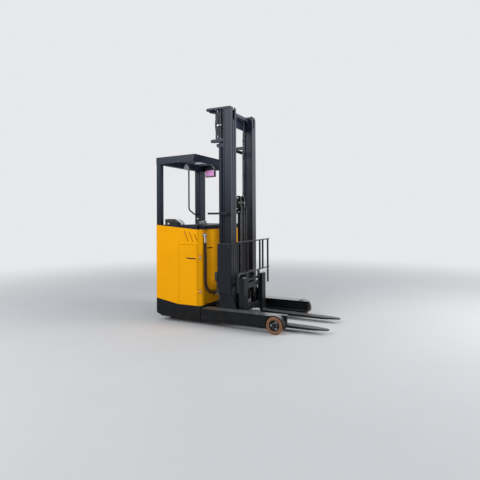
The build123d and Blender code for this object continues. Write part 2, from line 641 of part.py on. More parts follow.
def steering_wheel():
    """The small steering wheel on the left console, with three spokes and a spinner knob."""
    low, high = STEER_RADIUS - 11, STEER_RADIUS + 11
    rim = turned("Z", (WHEEL_X, WHEEL_Y, CONSOLE_TOP + 62),
                 [(low, -5), (low + 6, -11), (high - 6, -11), (high, -5), (high, 5), (high - 6, 11),
                  (low + 6, 11), (low, 5)])
    hub = round_bar("Z", (WHEEL_X, WHEEL_Y), 32, CONSOLE_TOP + 40, CONSOLE_TOP + 66)
    column = round_bar("Z", (WHEEL_X, WHEEL_Y), 14, CONSOLE_TOP + FIT, CONSOLE_TOP + 41)
    wheel = rim + hub + column
    for step in range(3):
        angle = math.radians(90 + 120 * step)
        spoke = Pos(WHEEL_X, WHEEL_Y, CONSOLE_TOP + 56) * Rot(0, 0, 90 + 120 * step) * Box(
            STEER_RADIUS, 26, 9, align=(Align.MIN, Align.CENTER, Align.CENTER))
        wheel += spoke
    knob_at = (WHEEL_X - STEER_RADIUS * math.cos(math.radians(30)), WHEEL_Y + STEER_RADIUS / 2)
    wheel += round_bar("Z", knob_at, 8, CONSOLE_TOP + 60, CONSOLE_TOP + 84)
    return wheel + ball((*knob_at, CONSOLE_TOP + 98), 20)


def drive_motor():
    """The vertical drive motor on its mounting plate and ring over the hole in the floor."""
    seat = ring("Z", (DRIVE_X, DRIVE_Y), DRIVE_HOLE, DRIVE_HOLE + 10, FLOOR_TOP + FIT, MOTOR_SEAT)
    plate = round_bar("Z", (DRIVE_X, DRIVE_Y), DRIVE_HOLE + 10, MOTOR_SEAT, MOTOR_SEAT + PLATE)
    foot = MOTOR_SEAT + PLATE
    motor = round_bar("Z", (DRIVE_X, DRIVE_Y), MOTOR_RADIUS, foot, foot + MOTOR_HEIGHT)
    return seat + plate + motor


def drive_bracket():
    """The turning drive bracket: a turntable under the motor and a gear case beside the wheel."""
    wheel_top = 2 * DRIVE_RADIUS
    table = round_bar("Z", (DRIVE_X, DRIVE_Y), TURNTABLE_RADIUS, wheel_top + 8, MOTOR_SEAT - FIT)
    case_y = DRIVE_Y + DRIVE_WIDTH / 2 + 6
    outline = [(DRIVE_X - 62, wheel_top + 8), (DRIVE_X - 62, DRIVE_RADIUS), (DRIVE_X - 40, 52),
               (DRIVE_X + 40, 52), (DRIVE_X + 62, DRIVE_RADIUS), (DRIVE_X + 62, wheel_top + 8)]
    case = prism("Y", outline, case_y, case_y + 30)
    axle = round_bar("Y", (DRIVE_X, DRIVE_RADIUS), 20, DRIVE_Y - DRIVE_WIDTH / 2 - 4, case_y)
    return table + case + axle


def drive_wheel():
    """The drive wheel: a tyre band on a dished centre."""
    low, high = DRIVE_Y - DRIVE_WIDTH / 2, DRIVE_Y + DRIVE_WIDTH / 2
    centre = (DRIVE_X, DRIVE_RADIUS)
    wheel = ring("Y", centre, 20 + FIT, DRIVE_RADIUS, low, high)
    wheel -= ring("Y", centre, 42, DRIVE_RADIUS - 28, low - 1, low + 20)
    return wheel


def caster_fork():
    """The caster's swivel disc and the centre plate that holds the axle between the twin wheels."""
    axle_x = CASTER_X - CASTER_TRAIL
    disc = round_bar("Z", (CASTER_X, CASTER_Y), 46, CASTER_SEAT - 22, CASTER_SEAT - FIT)
    outline = [(CASTER_X - 40, CASTER_SEAT - 22), (CASTER_X + 40, CASTER_SEAT - 22),
               (axle_x + 26, CASTER_RADIUS - 24), (axle_x - 26, CASTER_RADIUS - 24)]
    web = prism("Y", outline, CASTER_Y - 8, CASTER_Y + 8)
    reach = 8 + FIT + CASTER_WIDTH
    axle = round_bar("Y", (axle_x, CASTER_RADIUS), 14, CASTER_Y - reach, CASTER_Y + reach)
    return disc + web + axle


def caster_wheels():
    """The caster's two wheels, which turn as one."""
    centre = (CASTER_X - CASTER_TRAIL, CASTER_RADIUS)
    low = CASTER_Y + 8 + 2
    wheel = wheel_band(centre, low, 14 + FIT, CASTER_RADIUS, CASTER_WIDTH, 6)
    return [wheel, mirror(wheel, about=Plane.XZ.offset(-CASTER_Y))]


def reach_barrel():
    """The reach cylinder's barrel under the floor, with its gland, and the ear that holds it."""
    low, high = REACH_BARREL_REAR, BASE_FRONT
    at = (0, REACH_CYLINDER_Z)
    barrel = round_bar("X", at, REACH_BARREL_RADIUS, low, high)
    barrel -= round_bar("X", at, REACH_BARREL_RADIUS - 6, low + 14, high - 24)
    barrel -= round_bar("X", at, REACH_ROD_RADIUS + FIT, high - 25, high + 1)
    ear = block((low - 12, low), (-34, 34), (REACH_CYLINDER_Z - 34, FLOOR_TOP - PLATE - FIT))
    return barrel + ear


def reach_rod():
    """The reach cylinder's rod and piston, fixed to the mast carriage."""
    at = (0, REACH_CYLINDER_Z)
    piston = REACH_BARREL_REAR + 16
    rod = round_bar("X", at, REACH_ROD_RADIUS, piston, CARRIAGE_REAR_X - FIT)
    return rod + round_bar("X", at, REACH_BARREL_RADIUS - 6 - FIT, piston, piston + 12)


def mast_carriage():
    """The sliding carriage: side plates, a cross plate, cylinder feet and rollers in the legs."""
    low, high = MAST_HALF_WIDTH, MAST_HALF_WIDTH + PLATE
    roller = (LEG_TOP - LEG_WALL - LEG_BOTTOM - 22) / 2 - FIT
    roller_z = (LEG_TOP - LEG_WALL + LEG_BOTTOM + 22) / 2
    foot_z, top = CARRIAGE_LOW, CARRIAGE_HIGH
    outline = [(CARRIAGE_REAR_X, foot_z), (CARRIAGE_FRONT_X, foot_z), (CARRIAGE_FRONT_X, foot_z + 104),
               (MAST_FRONT_X - 8, top), (CARRIAGE_SHOULDER_X, top), (CARRIAGE_SHOULDER_X, CARRIAGE_TAIL_TOP),
               (CARRIAGE_REAR_X, CARRIAGE_TAIL_TOP)]
    side = prism("Y", outline, low, high)
    for x in (CARRIAGE_REAR_X + 48, CARRIAGE_FRONT_X - 48):
        side += round_bar("Y", (x, roller_z), 20, high, high + 3)
        side += round_bar("Y", (x, roller_z), roller, high + 3, LEG_WEB_Y - 5)
    foot = block((MAST_REAR_X - 82, MAST_REAR_X - FIT), (MIDDLE_OUT + 2, low), (foot_z, LIFT_FOOT))
    cross = block((CARRIAGE_REAR_X, CARRIAGE_REAR_X + 16), (-low, low), (foot_z, CARRIAGE_TAIL_TOP))
    shelf = block((CARRIAGE_REAR_X, MAST_REAR_X - 82), (-low, low), (foot_z, foot_z + PLATE))
    gusset = block((CARRIAGE_REAR_X, MAST_REAR_X - 82), (low - PLATE, low), (foot_z, CARRIAGE_TAIL_TOP))
    half = side + foot + gusset
    return half + other_side(half) + cross + shelf


def channel_rail(outer, inner, web_at, front, top):
    """A mast rail between two Y values: two flanges and a web. Each stage's front stands further ahead."""
    low, high = min(outer, inner), max(outer, inner)
    ahead = block((front - FLANGE, front), (low, high), (RAIL_FOOT, top))
    behind = block((MAST_REAR_X, MAST_REAR_X + FLANGE), (low, high), (RAIL_FOOT, top))
    web = block((MAST_REAR_X, front), (web_at, web_at + RAIL_WEB), (RAIL_FOOT, top))
    return ahead + behind + web


def mast_roller(low, high, z, front, pin):
    """A roller between the flanges of a rail, on its pin from the web beside it."""
    radius = (front - MAST_REAR_X) / 2 - FLANGE - FIT
    centre = ((front + MAST_REAR_X) / 2, z)
    return round_bar("Y", centre, radius, low, high) + round_bar("Y", centre, 0.4 * radius, pin, low + 1)


def outer_mast():
    """The fixed mast stage: channel rails open inwards, and an upper tie that clamps the barrels."""
    rail = channel_rail(OUTER_OUT, OUTER_IN, OUTER_WEB, OUTER_FRONT_X, OUTER_TOP)
    rail += block((OUTER_FRONT_X - SIDE_STRIP, OUTER_FRONT_X), (OUTER_WEB, OUTER_OUT), (RAIL_FOOT, OUTER_TOP))
    clamp = block((TIE_REAR_X, MAST_REAR_X - RAIL_GAP), (OUTER_TIE_Y, OUTER_OUT), OUTER_TIE_Z)
    clamp += block((MAST_REAR_X - RAIL_GAP, MAST_REAR_X), (OUTER_IN + 2, OUTER_OUT), OUTER_TIE_Z)
    tip = [(MAST_REAR_X - RAIL_GAP, OUTER_TIE_Y), (MAST_REAR_X - RAIL_GAP, OUTER_OUT),
           (BRACKET_TIP_X + 40, OUTER_OUT), (BRACKET_TIP_X, OUTER_OUT - 30),
           (BRACKET_TIP_X, OUTER_TIE_Y + 24), (BRACKET_TIP_X + 30, OUTER_TIE_Y)]
    clamp += prism("Z", tip, *BRACKET_Z)
    clamp += block((MAST_REAR_X - RAIL_GAP, MAST_REAR_X), (OUTER_IN + 2, OUTER_OUT), BRACKET_Z)
    clamp -= round_bar("Z", (LIFT_X, LIFT_Y), LIFT_BARREL_RADIUS + FIT, 0, BRACKET_Z[0])
    clamp -= round_bar("Z", (LIFT_X, LIFT_Y), LIFT_ROD_RADIUS + 5, 0, MAST_TOP)
    bar = block((TIE_REAR_X, TIE_REAR_X + 15), (-OUTER_TIE_Y - 1, OUTER_TIE_Y + 1), OUTER_TIE_Z)
    half = rail + clamp
    return half + other_side(half) + bar


def lift_barrel():
    """A side lift cylinder's barrel with its bore and gland."""
    at = (LIFT_X, LIFT_Y)
    barrel = round_bar("Z", at, LIFT_BARREL_RADIUS, LIFT_FOOT + FIT, BRACKET_Z[0] - FIT)
    barrel -= round_bar("Z", at, LIFT_BARREL_RADIUS - 5, LIFT_FOOT + 16, BRACKET_Z[0] - 36)
    return barrel - round_bar("Z", at, LIFT_ROD_RADIUS + FIT, LIFT_FOOT + 16, BRACKET_Z[0] + 1)


def lift_rod():
    """A side lift cylinder's rod and piston, pushing the middle stage's top plate."""
    at = (LIFT_X, LIFT_Y)
    low = BRACKET_Z[0] - 36 - STAGE_LIFT - 30
    rod = round_bar("Z", at, LIFT_ROD_RADIUS, low, TOP_PLATE_Z[0] - FIT)
    return rod + round_bar("Z", at, LIFT_BARREL_RADIUS - 5 - FIT, low, low + 20)


def middle_mast():
    """The middle stage: rails, ties behind the inner stage, top plates and foot rollers."""
    rail = channel_rail(MIDDLE_OUT, MIDDLE_IN, MIDDLE_WEB, MIDDLE_FRONT_X, TOP_PLATE_Z[0])
    rail -= block((MIDDLE_FRONT_X - FLANGE, MIDDLE_FRONT_X + 1), (MIDDLE_IN - 1, MIDDLE_OUT + 1),
                  (TOP_PLATE_Z[0] - 140, TOP_PLATE_Z[0]))
    rail += mast_roller(MIDDLE_OUT + 3, OUTER_WEB - 5, RAIL_FOOT + 50, OUTER_FRONT_X, MIDDLE_WEB)
    front = MIDDLE_FRONT_X - FLANGE
    outline = [(front, MIDDLE_IN), (front, OUTER_OUT),
               (TOP_PLATE_TIP_X + 50, OUTER_OUT), (TOP_PLATE_TIP_X + 12, OUTER_OUT - 14),
               (TOP_PLATE_TIP_X, OUTER_OUT - 46), (TOP_PLATE_TIP_X + 14, MIDDLE_IN + 14),
               (TOP_PLATE_TIP_X + 50, MIDDLE_IN)]
    rail += prism("Z", outline, *TOP_PLATE_Z)
    for z in MIDDLE_TIES_Z:
        rail += block((MAST_REAR_X - RAIL_GAP - 25, MAST_REAR_X), (MIDDLE_IN, MIDDLE_IN + 17), z)
    whole = rail + other_side(rail)
    for z in MIDDLE_TIES_Z:
        whole += block((MAST_REAR_X - RAIL_GAP - 25, MAST_REAR_X - RAIL_GAP),
                       (-MIDDLE_IN - 17, MIDDLE_IN + 17), z)
    head = [(MAST_REAR_X - RAIL_GAP - 20, BRACKET_Z[1] + 7), (HEAD_PLATE_X, BRACKET_Z[1] + 7),
            (HEAD_PLATE_X, TOP_PLATE_Z[0] - 42), (TOP_PLATE_TIP_X + 20, TOP_PLATE_Z[0] - 12),
            (TOP_PLATE_TIP_X + 20, TOP_PLATE_Z[0]), (MAST_REAR_X - RAIL_GAP - 20, TOP_PLATE_Z[0])]
    return whole + other_side(prism("Y", head, MIDDLE_IN + 9, MIDDLE_IN + 17))


def inner_mast():
    """The inner stage: rails, a foot tie with the free-lift cylinder's seat, and an arched top tie."""
    rail = channel_rail(INNER_OUT, INNER_IN, INNER_WEB, MAST_FRONT_X, INNER_TOP)
    rail += mast_roller(INNER_OUT + 2, MIDDLE_WEB - 5, RAIL_FOOT + 50, MIDDLE_FRONT_X, INNER_WEB)
    tie = block((MAST_REAR_X, MAST_REAR_X + FLANGE), (-INNER_IN, INNER_IN), (RAIL_FOOT + 20, RAIL_FOOT + 160))
    seat = block((MAST_REAR_X, FREE_X + 48), (-60, 60), (RAIL_FOOT + 20, FREE_FOOT))
    end = INNER_WEB + 1
    arch = [(-end, INNER_TOP), (-end, INNER_TOP - 110), (-end + 86, INNER_TOP - 60),
            (end - 86, INNER_TOP - 60), (end, INNER_TOP - 110), (end, INNER_TOP),
            (end - 86, INNER_TOP - 16), (-end + 86, INNER_TOP - 16)]
    top = prism("X", arch, ROLLER_X - 12, ROLLER_X + 12)
    return rail + other_side(rail) + tie + seat + top


def free_barrel():
    """The centre cylinder's barrel on the inner stage's foot, with the bracket that holds the chains."""
    at = (FREE_X, 0)
    barrel = round_bar("Z", at, FREE_RADIUS, FREE_FOOT + FIT, FREE_TOP)
    chain_x = FREE_X - CHAIN_PITCH_RADIUS
    barrel += block((chain_x - 8, FREE_X - 10), (-CHAIN_Y - 7, CHAIN_Y + 7), CHAIN_BRACKET_Z)
    barrel -= round_bar("Z", at, FREE_RADIUS - 6, FREE_FOOT + 20, FREE_TOP - 30)
    return barrel - round_bar("Z", at, FREE_ROD_RADIUS + FIT, FREE_TOP - 31, FREE_TOP + 1)


def free_rod():
    """The centre cylinder's rod with the crosshead that carries the chain and hose sheaves."""
    at = (FREE_X, 0)
    low = FREE_TOP - 30 - FREE_LIFT / 2 - 40
    rod = round_bar("Z", at, FREE_ROD_RADIUS, low, CROSSHEAD_Z)
    rod += round_bar("Z", at, FREE_RADIUS - 6 - FIT, low, low + 20)
    out = HOSE_Y + HOSE_SHEAVE_WIDTH / 2 + 2
    head = block((FREE_X - 26, FREE_X + 26), (-out - CHEEK, out + CHEEK), (CROSSHEAD_Z, CROSSHEAD_Z + 24))
    gap = CHAIN_SHEAVE_WIDTH / 2 + 2
    for y in (CHAIN_Y - gap - CHEEK, CHAIN_Y + gap):
        ear = [(FREE_X - 26, CROSSHEAD_Z), (FREE_X + 26, CROSSHEAD_Z), (FREE_X + 20, CHAIN_SHEAVE_Z + 22),
               (FREE_X - 20, CHAIN_SHEAVE_Z + 22)]
        cheek = prism("Y", ear, y, y + CHEEK)
        head += cheek + other_side(cheek)
    arm = [(FREE_X - 22, CROSSHEAD_Z), (FREE_X + 22, CROSSHEAD_Z), (FREE_X + 18, HOSE_SHEAVE_Z - 18),
           (FREE_X - 18, HOSE_SHEAVE_Z - 18)]
    outer_arm = prism("Y", arm, out, out + CHEEK)
    outer_arm += round_bar("Y", (FREE_X, HOSE_SHEAVE_Z), 10, out - HOSE_SHEAVE_WIDTH - 4, out + 1)
    axle_end = CHAIN_Y + gap + CHEEK
    head += round_bar("Y", (FREE_X, CHAIN_SHEAVE_Z), 10, -axle_end, axle_end)
    return rod + head + outer_arm + other_side(outer_arm)


def sheaves():
    """The two chain sheaves on top of the crosshead and the two larger hose sheaves below it."""
    wheels = []
    for y, z, radius, width in ((CHAIN_Y, CHAIN_SHEAVE_Z, CHAIN_SHEAVE_RADIUS, CHAIN_SHEAVE_WIDTH),
                                (HOSE_Y, HOSE_SHEAVE_Z, HOSE_SHEAVE_RADIUS, HOSE_SHEAVE_WIDTH)):
        half = width / 2
        wheel = ring("Y", (FREE_X, z), 10 + FIT, radius, y - half, y + half)
        wheel -= ring("Y", (FREE_X, z), radius - 7, radius + 1, y - half + 4, y + half - 4)
        wheels += both_sides(wheel)
    return wheels


def chain_strand(x, low):
    """A straight run of one lift chain, from its anchor up to beside the sheave's axle."""
    return block((x - CHAIN_DEPTH / 2, x + CHAIN_DEPTH / 2),
                 (CHAIN_Y - CHAIN_WIDTH / 2, CHAIN_Y + CHAIN_WIDTH / 2), (low + FIT, CHAIN_SHEAVE_Z))


def lift_chains():
    """The two lift chains over their sheaves and down to the lift carriage."""
    over = ring("Y", (FREE_X, CHAIN_SHEAVE_Z), CHAIN_PITCH_RADIUS - CHAIN_DEPTH / 2,
                CHAIN_PITCH_RADIUS + CHAIN_DEPTH / 2, CHAIN_Y - CHAIN_WIDTH / 2, CHAIN_Y + CHAIN_WIDTH / 2)
    over -= block((FREE_X - 60, FREE_X + 60), (0, 2 * CHAIN_Y), (0, CHAIN_SHEAVE_Z))
    return both_sides(over + chain_strand(FREE_X + CHAIN_PITCH_RADIUS, CHAIN_LUG_Z[1]))


def chain_tails():
    """The short runs behind the sheaves, down to the bracket on the centre cylinder."""
    strand = chain_strand(FREE_X - CHAIN_PITCH_RADIUS, CHAIN_BRACKET_Z[1])
    return both_sides(strand - block((FREE_X - 60, FREE_X), (0, 2 * CHAIN_Y),
                                     (CHAIN_SHEAVE_Z - FIT, CHAIN_SHEAVE_Z + 1)))


def lift_carriage():
    """The carriage that runs in the inner stage: side plates, four rollers, cross bars and lugs."""
    high = INNER_IN - RAIL_GAP
    low = high - 20
    side = block((MAST_REAR_X + 24, CARRIAGE_BAR_X), (low, high), (CARRIAGE_FOOT, CARRIAGE_TOP))
    side -= block((MAST_REAR_X + 60, CARRIAGE_BAR_X - 40), (low - 1, high + 1),
                  (CARRIAGE_FOOT + 190, CARRIAGE_TOP - 190))
    for z in (CARRIAGE_FOOT + 90, CARRIAGE_TOP - 90):
        side += mast_roller(high + 1, INNER_WEB - 4, z, MAST_FRONT_X, high)
    whole = side + other_side(side)
    for z in ((CARRIAGE_FOOT, CARRIAGE_FOOT + 80), (CARRIAGE_TOP - 90, CARRIAGE_TOP)):
        whole += block((CARRIAGE_BAR_X - 20, CARRIAGE_BAR_X), (-high, high), z)
    for y in TILT_Y:
        whole -= round_bar("X", (y, TILT_Z), TILT_ROD_RADIUS + FIT, CARRIAGE_BAR_X - 21, CARRIAGE_BAR_X + 1)
    chain_lug = block((FREE_X + CHAIN_PITCH_RADIUS - 10, CARRIAGE_BAR_X - 20), (CHAIN_Y - 10, CHAIN_Y + 10),
                      CHAIN_LUG_Z)
    whole += chain_lug + other_side(chain_lug)
    lug = [(CARRIAGE_BAR_X, PIVOT_Z - 40), (PIVOT_X + 6, PIVOT_Z - 22), (PIVOT_X + 22, PIVOT_Z),
           (PIVOT_X + 6, PIVOT_Z + 22), (CARRIAGE_BAR_X, PIVOT_Z + 40)]
    for side in (-1, 1):
        for inside in (120, 180):
            y = sorted((side * inside, side * (inside + 18)))
            plate = prism("Y", lug, *y)
            whole += plate - round_bar("Y", (PIVOT_X, PIVOT_Z), PIN_RADIUS + FIT, y[0] - 1, y[1] + 1)
    return whole


def fork_frame():
    """The tilting fork frame: two uprights, three bars, hinge eyes with their pins."""
    front = SHANK_REAR - FIT
    rear = front - FRAME_DEPTH
    upright = block((rear, front), (FRAME_INNER, FRAME_OUTER), (FRAME_FOOT, FORK_TOP - HOOK))
    whole = upright + other_side(upright)
    for z in FRAME_BARS_Z:
        whole += block((rear, front), (-FRAME_INNER - 1, FRAME_INNER + 1), z)
    for side in (-1, 1):
        y = sorted((side * (138 + FIT), side * (180 - FIT)))
        eye = [(PIVOT_X - 20, PIVOT_Z - 16), (rear, FRAME_FOOT), (rear, FRAME_FOOT + 64),
               (PIVOT_X - 20, PIVOT_Z + 16)]
        whole += prism("Y", eye, *y)
        ends = sorted((side * 118, side * 200))
        whole += round_bar("Y", (PIVOT_X, PIVOT_Z), PIN_RADIUS, *ends)
    return whole


def fork():
    """A forged fork: upright shank with a top hook, rounded heel and a blade tapered to its tip."""
    heel = 46
    outline = [(SHANK_FRONT, FORK_TOP), (SHANK_FRONT, FORK_FOOT + FORK_THICKNESS + 16),
               (SHANK_FRONT + 16, FORK_FOOT + FORK_THICKNESS), (SHANK_FRONT + 260, FORK_FOOT + 36),
               (FORK_TIP_X, FORK_FOOT + 22), (FORK_TIP_X, FORK_FOOT + 10), (FORK_TIP_X - 260, FORK_FOOT),
               (SHANK_REAR + heel, FORK_FOOT), (SHANK_REAR + 14, FORK_FOOT + 12),
               (SHANK_REAR, FORK_FOOT + heel), (SHANK_REAR, FORK_TOP - HOOK + FIT),
               (SHANK_REAR - FRAME_DEPTH - FIT, FORK_TOP - HOOK + FIT),
               (SHANK_REAR - FRAME_DEPTH - FIT, FORK_TOP - 14), (SHANK_REAR, FORK_TOP)]
    half = FORK_WIDTH / 2
    blade = prism("Y", outline, FORK_Y - half, FORK_Y + half)
    for side in (-1, 1):
        edge = FORK_Y + side * half
        taper = [(FORK_TIP_X - TIP_TAPER, edge), (FORK_TIP_X - 30, FORK_Y + side * (half - 26)),
                 (FORK_TIP_X, FORK_Y + side * (half - 44)), (FORK_TIP_X + 1, edge + side)]
        blade -= prism("Z", taper, 0, FORK_TOP)
    return blade


def load_backrest():
    """The guard behind the load: a top and a lower bar with uprights, on two brackets."""
    low, high = BACKREST_X
    half = BACKREST_HALF_WIDTH
    whole = block((low, high), (-half, half), (BACKREST_TOP - 14, BACKREST_TOP))
    whole += block((low, high), (-half, half), (BACKREST_LOW - 12, BACKREST_LOW))
    for y, foot in ((202, BACKREST_LOW - 6), (305, BACKREST_LOW - 6), (half - 18, BACKREST_FOOT)):
        for side in (-1, 1):
            at = side * y
            whole += block((low + 8, high - 8), (at - 9, at + 9), (foot, BACKREST_TOP - 7))
    for side in (-1, 1):
        y = sorted((side * 150, side * 210))
        whole += block((low, low + 12), y, (FRAME_BARS_Z[2][0], BACKREST_LOW - 6))
    return whole


def tilt_barrel():
    """The two short tilt cylinders on the lift carriage's upper bar."""
    barrels = []
    for y in TILT_Y:
        at = (y, TILT_Z)
        body = round_bar("X", at, 27, CARRIAGE_BAR_X - 118, CARRIAGE_BAR_X - 20 - FIT)
        body -= round_bar("X", at, TILT_ROD_RADIUS + FIT, CARRIAGE_BAR_X - 106, CARRIAGE_BAR_X)
        barrels.append(body)
    return barrels


def mast_side_cover():
    """The folded cover on the lower right of the mast, closed by a sloped top edge."""
    low, high = MAST_HALF_WIDTH + FIT, MAST_HALF_WIDTH + COVER_DEPTH
    outline = [(COVER_REAR_X, low), (COVER_REAR_X, high - 8), (COVER_REAR_X + 8, high),
               (COVER_FRONT_X - 8, high), (COVER_FRONT_X, high - 8), (COVER_FRONT_X, low)]
    return other_side(prism("Z", outline, *COVER_Z))


def junction_box():
    """The small black box behind the side cover."""
    box = block((COVER_REAR_X - JUNCTION_LENGTH, COVER_REAR_X - FIT), (-MAST_HALF_WIDTH - COVER_DEPTH,
                -MAST_HALF_WIDTH - 4), JUNCTION_Z)
    return fillet(box.edges().filter_by(Axis.X), 6)


def side_rail():
    """The bar on the right of the mast that points back to the body, on its short arm."""
    y = -MAST_HALF_WIDTH - COVER_DEPTH
    front = SIDE_RAIL_X[1]
    bar = block(SIDE_RAIL_X, (y - 9, y + 9), (SIDE_RAIL_Z - SIDE_RAIL_HALF, SIDE_RAIL_Z + SIDE_RAIL_HALF))
    arm = block((front - 22, front - 4), (y, -MAST_HALF_WIDTH - FIT), (SIDE_RAIL_Z - 6, SIDE_RAIL_Z + 6))
    return bar + arm


def supply_hose(points):
    """One of the two hoses that hang down the front panel and turn in behind the mast."""
    path = [Vector(*p) for p in points]
    radii = []
    for before, at, after in zip(path, path[1:], path[2:]):
        turn = math.radians((at - before).get_angle(after - at))
        run = min((at - before).length, (after - at).length)
        radii.append(0.45 * run / math.tan(turn / 2))
    print("hose radii", [round(r) for r in radii])
    return pipe(points, radii, HOSE_RADIUS)


def tilt_rods():
    """The tilt cylinders' rods, their round ends set against the fork frame's uppermost bar."""
    rods = []
    end = SHANK_REAR - FIT - FRAME_DEPTH - TILT_GAP - TILT_ROD_RADIUS
    for y in TILT_Y:
        rod = round_bar("X", (y, TILT_Z), TILT_ROD_RADIUS, CARRIAGE_BAR_X - 60, end)
        rods.append(rod + Pos(end, y, TILT_Z) * Sphere(TILT_ROD_RADIUS))
    return rods


def monitor():
    """The display under the roof's front corner, on its curved bracket."""
    screen = Pos(*MONITOR_AT) * Rot(0, 0, MONITOR_TURN) * Box(26, MONITOR_WIDTH, MONITOR_HEIGHT)
    screen = fillet(screen.edges().filter_by(Axis.Z), 6)
    x, y, z = MONITOR_AT
    stem = round_bar("Z", (x, y), 9, z + MONITOR_HEIGHT / 2 - 5, min(roof_z(x - 9), roof_z(x + 9)) - ROOF_BAR - FIT)
    return screen + stem


def work_lamp():
    """The lamp box hung under the roof."""
    x, y = LAMP_AT
    top = min(roof_z(x - 26), roof_z(x + 26)) - ROOF_BAR - FIT
    lamp = block((x - 26, x + 26), (y - 36, y + 36), (top - 84, top))
    return fillet(lamp.edges().filter_by(Axis.Z), 8)


def floor_mat():
    """The rubber mat on the operator's floor."""
    return block((REAR_X + SKIRT + 4, BAY_REAR - PLATE - 6), (MAT_MARGIN - HALF_WIDTH, CONSOLE_Y - 6),
                 (FLOOR_TOP + FIT, FLOOR_TOP + FIT + 10))


def battery():
    """The traction battery, one closed box on rollers' height in its bay."""
    inner = HALF_WIDTH - SKIRT - PANEL - UPRIGHT_WIDTH - 10
    box = block((BAY_REAR + 14, BODY_FRONT - 2 * PLATE - 14), (-inner, inner),
                (FLOOR_TOP + FIT, BATTERY_TOP))
    return fillet(box.edges().filter_by(Axis.Z), 10)


def hose_fittings():
    """The steel elbows on the front panel where the hoses start, and the clip where they end."""
    end = OUTER_HOSE[-1]
    half = HOSE_RADIUS + 3
    pieces = []
    for start in (OUTER_HOSE[0], INNER_HOSE[0]):
        y = start[1]
        elbow = block((BODY_FRONT + FIT, start[0] + half), (y - half + 2, y + half - 2),
                      (start[2] + 40, start[2] + 64))
        elbow += round_bar("Z", (start[0], y), half - 1, start[2], start[2] + 42)
        pieces.append(elbow)
    clip = block((end[0] - 18, end[0] + 18), (end[1], end[1] + 14),
                 (end[2] - 40, end[2] + 40))
    clip += block((BODY_FRONT + FIT, end[0] - 17), (end[1] + 2, end[1] + 12), (end[2] - 40, end[2]))
    return pieces + [clip]


def door_hinges():
    """The battery door's two hinge pins, each between two ears on the cut corner."""
    gap = (HINGE_X + HINGE_Y - BODY_FRONT - HALF_WIDTH + CORNER_CUT) / 2 - FIT
    x, y = HINGE_X - gap, HINGE_Y - gap
    foot = [(x - 8, y + 8), (x + 8, y - 8), (HINGE_X + 8, HINGE_Y), (HINGE_X, HINGE_Y + 8)]
    hinges = []
    for z in HINGES_Z:
        hinge = round_bar("Z", (HINGE_X, HINGE_Y), HINGE_PIN, z - 26, z + 26)
        for low in (z - 24, z + 16):
            hinge += prism("Z", foot, low, low + 8)
        hinges.append(other_side(hinge))
    return hinges


PIECES = {
    "main_frame": [main_frame()],
    "base_skirt": [base_skirt()],
    "leg_left": [leg()],
    "leg_right": [other_side(leg())],
    "load_hub_left": [load_hub()],
    "load_hub_right": [other_side(load_hub())],
    "load_tyre_left": [load_tyre()],
    "load_tyre_right": [other_side(load_tyre())],
    "side_panel_left": [side_panel(False)],
    "side_panel_right": [other_side(side_panel(True))],
    "battery_door": [other_side(battery_door())],
    "door_hinges": door_hinges(),
    "front_panel": [front_panel()],
    "deck_cover": [deck_cover()],
    "drive_console": [drive_console()],
    "rear_post_left": [rear_post(LEFT_POST_WIDTH, LEFT_POST_DEPTH)],
    "rear_post_right": [other_side(rear_post(RIGHT_POST_WIDTH, RIGHT_POST_DEPTH))],
    "roof_frame": [roof_frame()],
    "grab_rail": [grab_rail()],
    "backrest_pad": [backrest_pad()],
    "control_box": [control_box()],
    "steering_wheel": [steering_wheel()],
    "drive_motor": [drive_motor()],
    "drive_bracket": [drive_bracket()],
    "drive_wheel": [drive_wheel()],
    "caster_fork": [caster_fork()],
    "caster_wheels": caster_wheels(),
    "reach_barrel": [reach_barrel()],
    "reach_rod": [reach_rod()],
    "mast_carriage": [mast_carriage()],
    "outer_mast": [outer_mast()],
    "lift_barrels": both_sides(lift_barrel()),
    "lift_rods": both_sides(lift_rod()),
    "middle_mast": [middle_mast()],
    "inner_mast": [inner_mast()],
    "free_barrel": [free_barrel()],
    "free_rod": [free_rod()],
    "sheaves": sheaves(),
    "lift_chains": lift_chains(),
    "chain_tails": chain_tails(),
    "lift_carriage": [lift_carriage()],
    "fork_frame": [fork_frame()],
    "fork_left": [fork()],
    "fork_right": [other_side(fork())],
    "load_backrest": [load_backrest()],
    "tilt_barrels": tilt_barrel(),
    "tilt_rods": tilt_rods(),
    "mast_side_cover": [mast_side_cover()],
    "junction_box": [junction_box()],
    "side_rail": [side_rail()],
    "outer_hose": [supply_hose(OUTER_HOSE)],
    "inner_hose": [supply_hose(INNER_HOSE)],
    "hose_fittings": hose_fittings(),
    "monitor": [monitor()],
    "work_lamp": [work_lamp()],
    "floor_mat": [floor_mat()],
    "battery": [battery()],
}

for node, shapes in PIECES.items():
    save(node, *shapes)
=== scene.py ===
import json
import math

import bmesh
import bpy
from bpy.props import FloatProperty, FloatVectorProperty, PointerProperty
from mathutils import Matrix, Vector


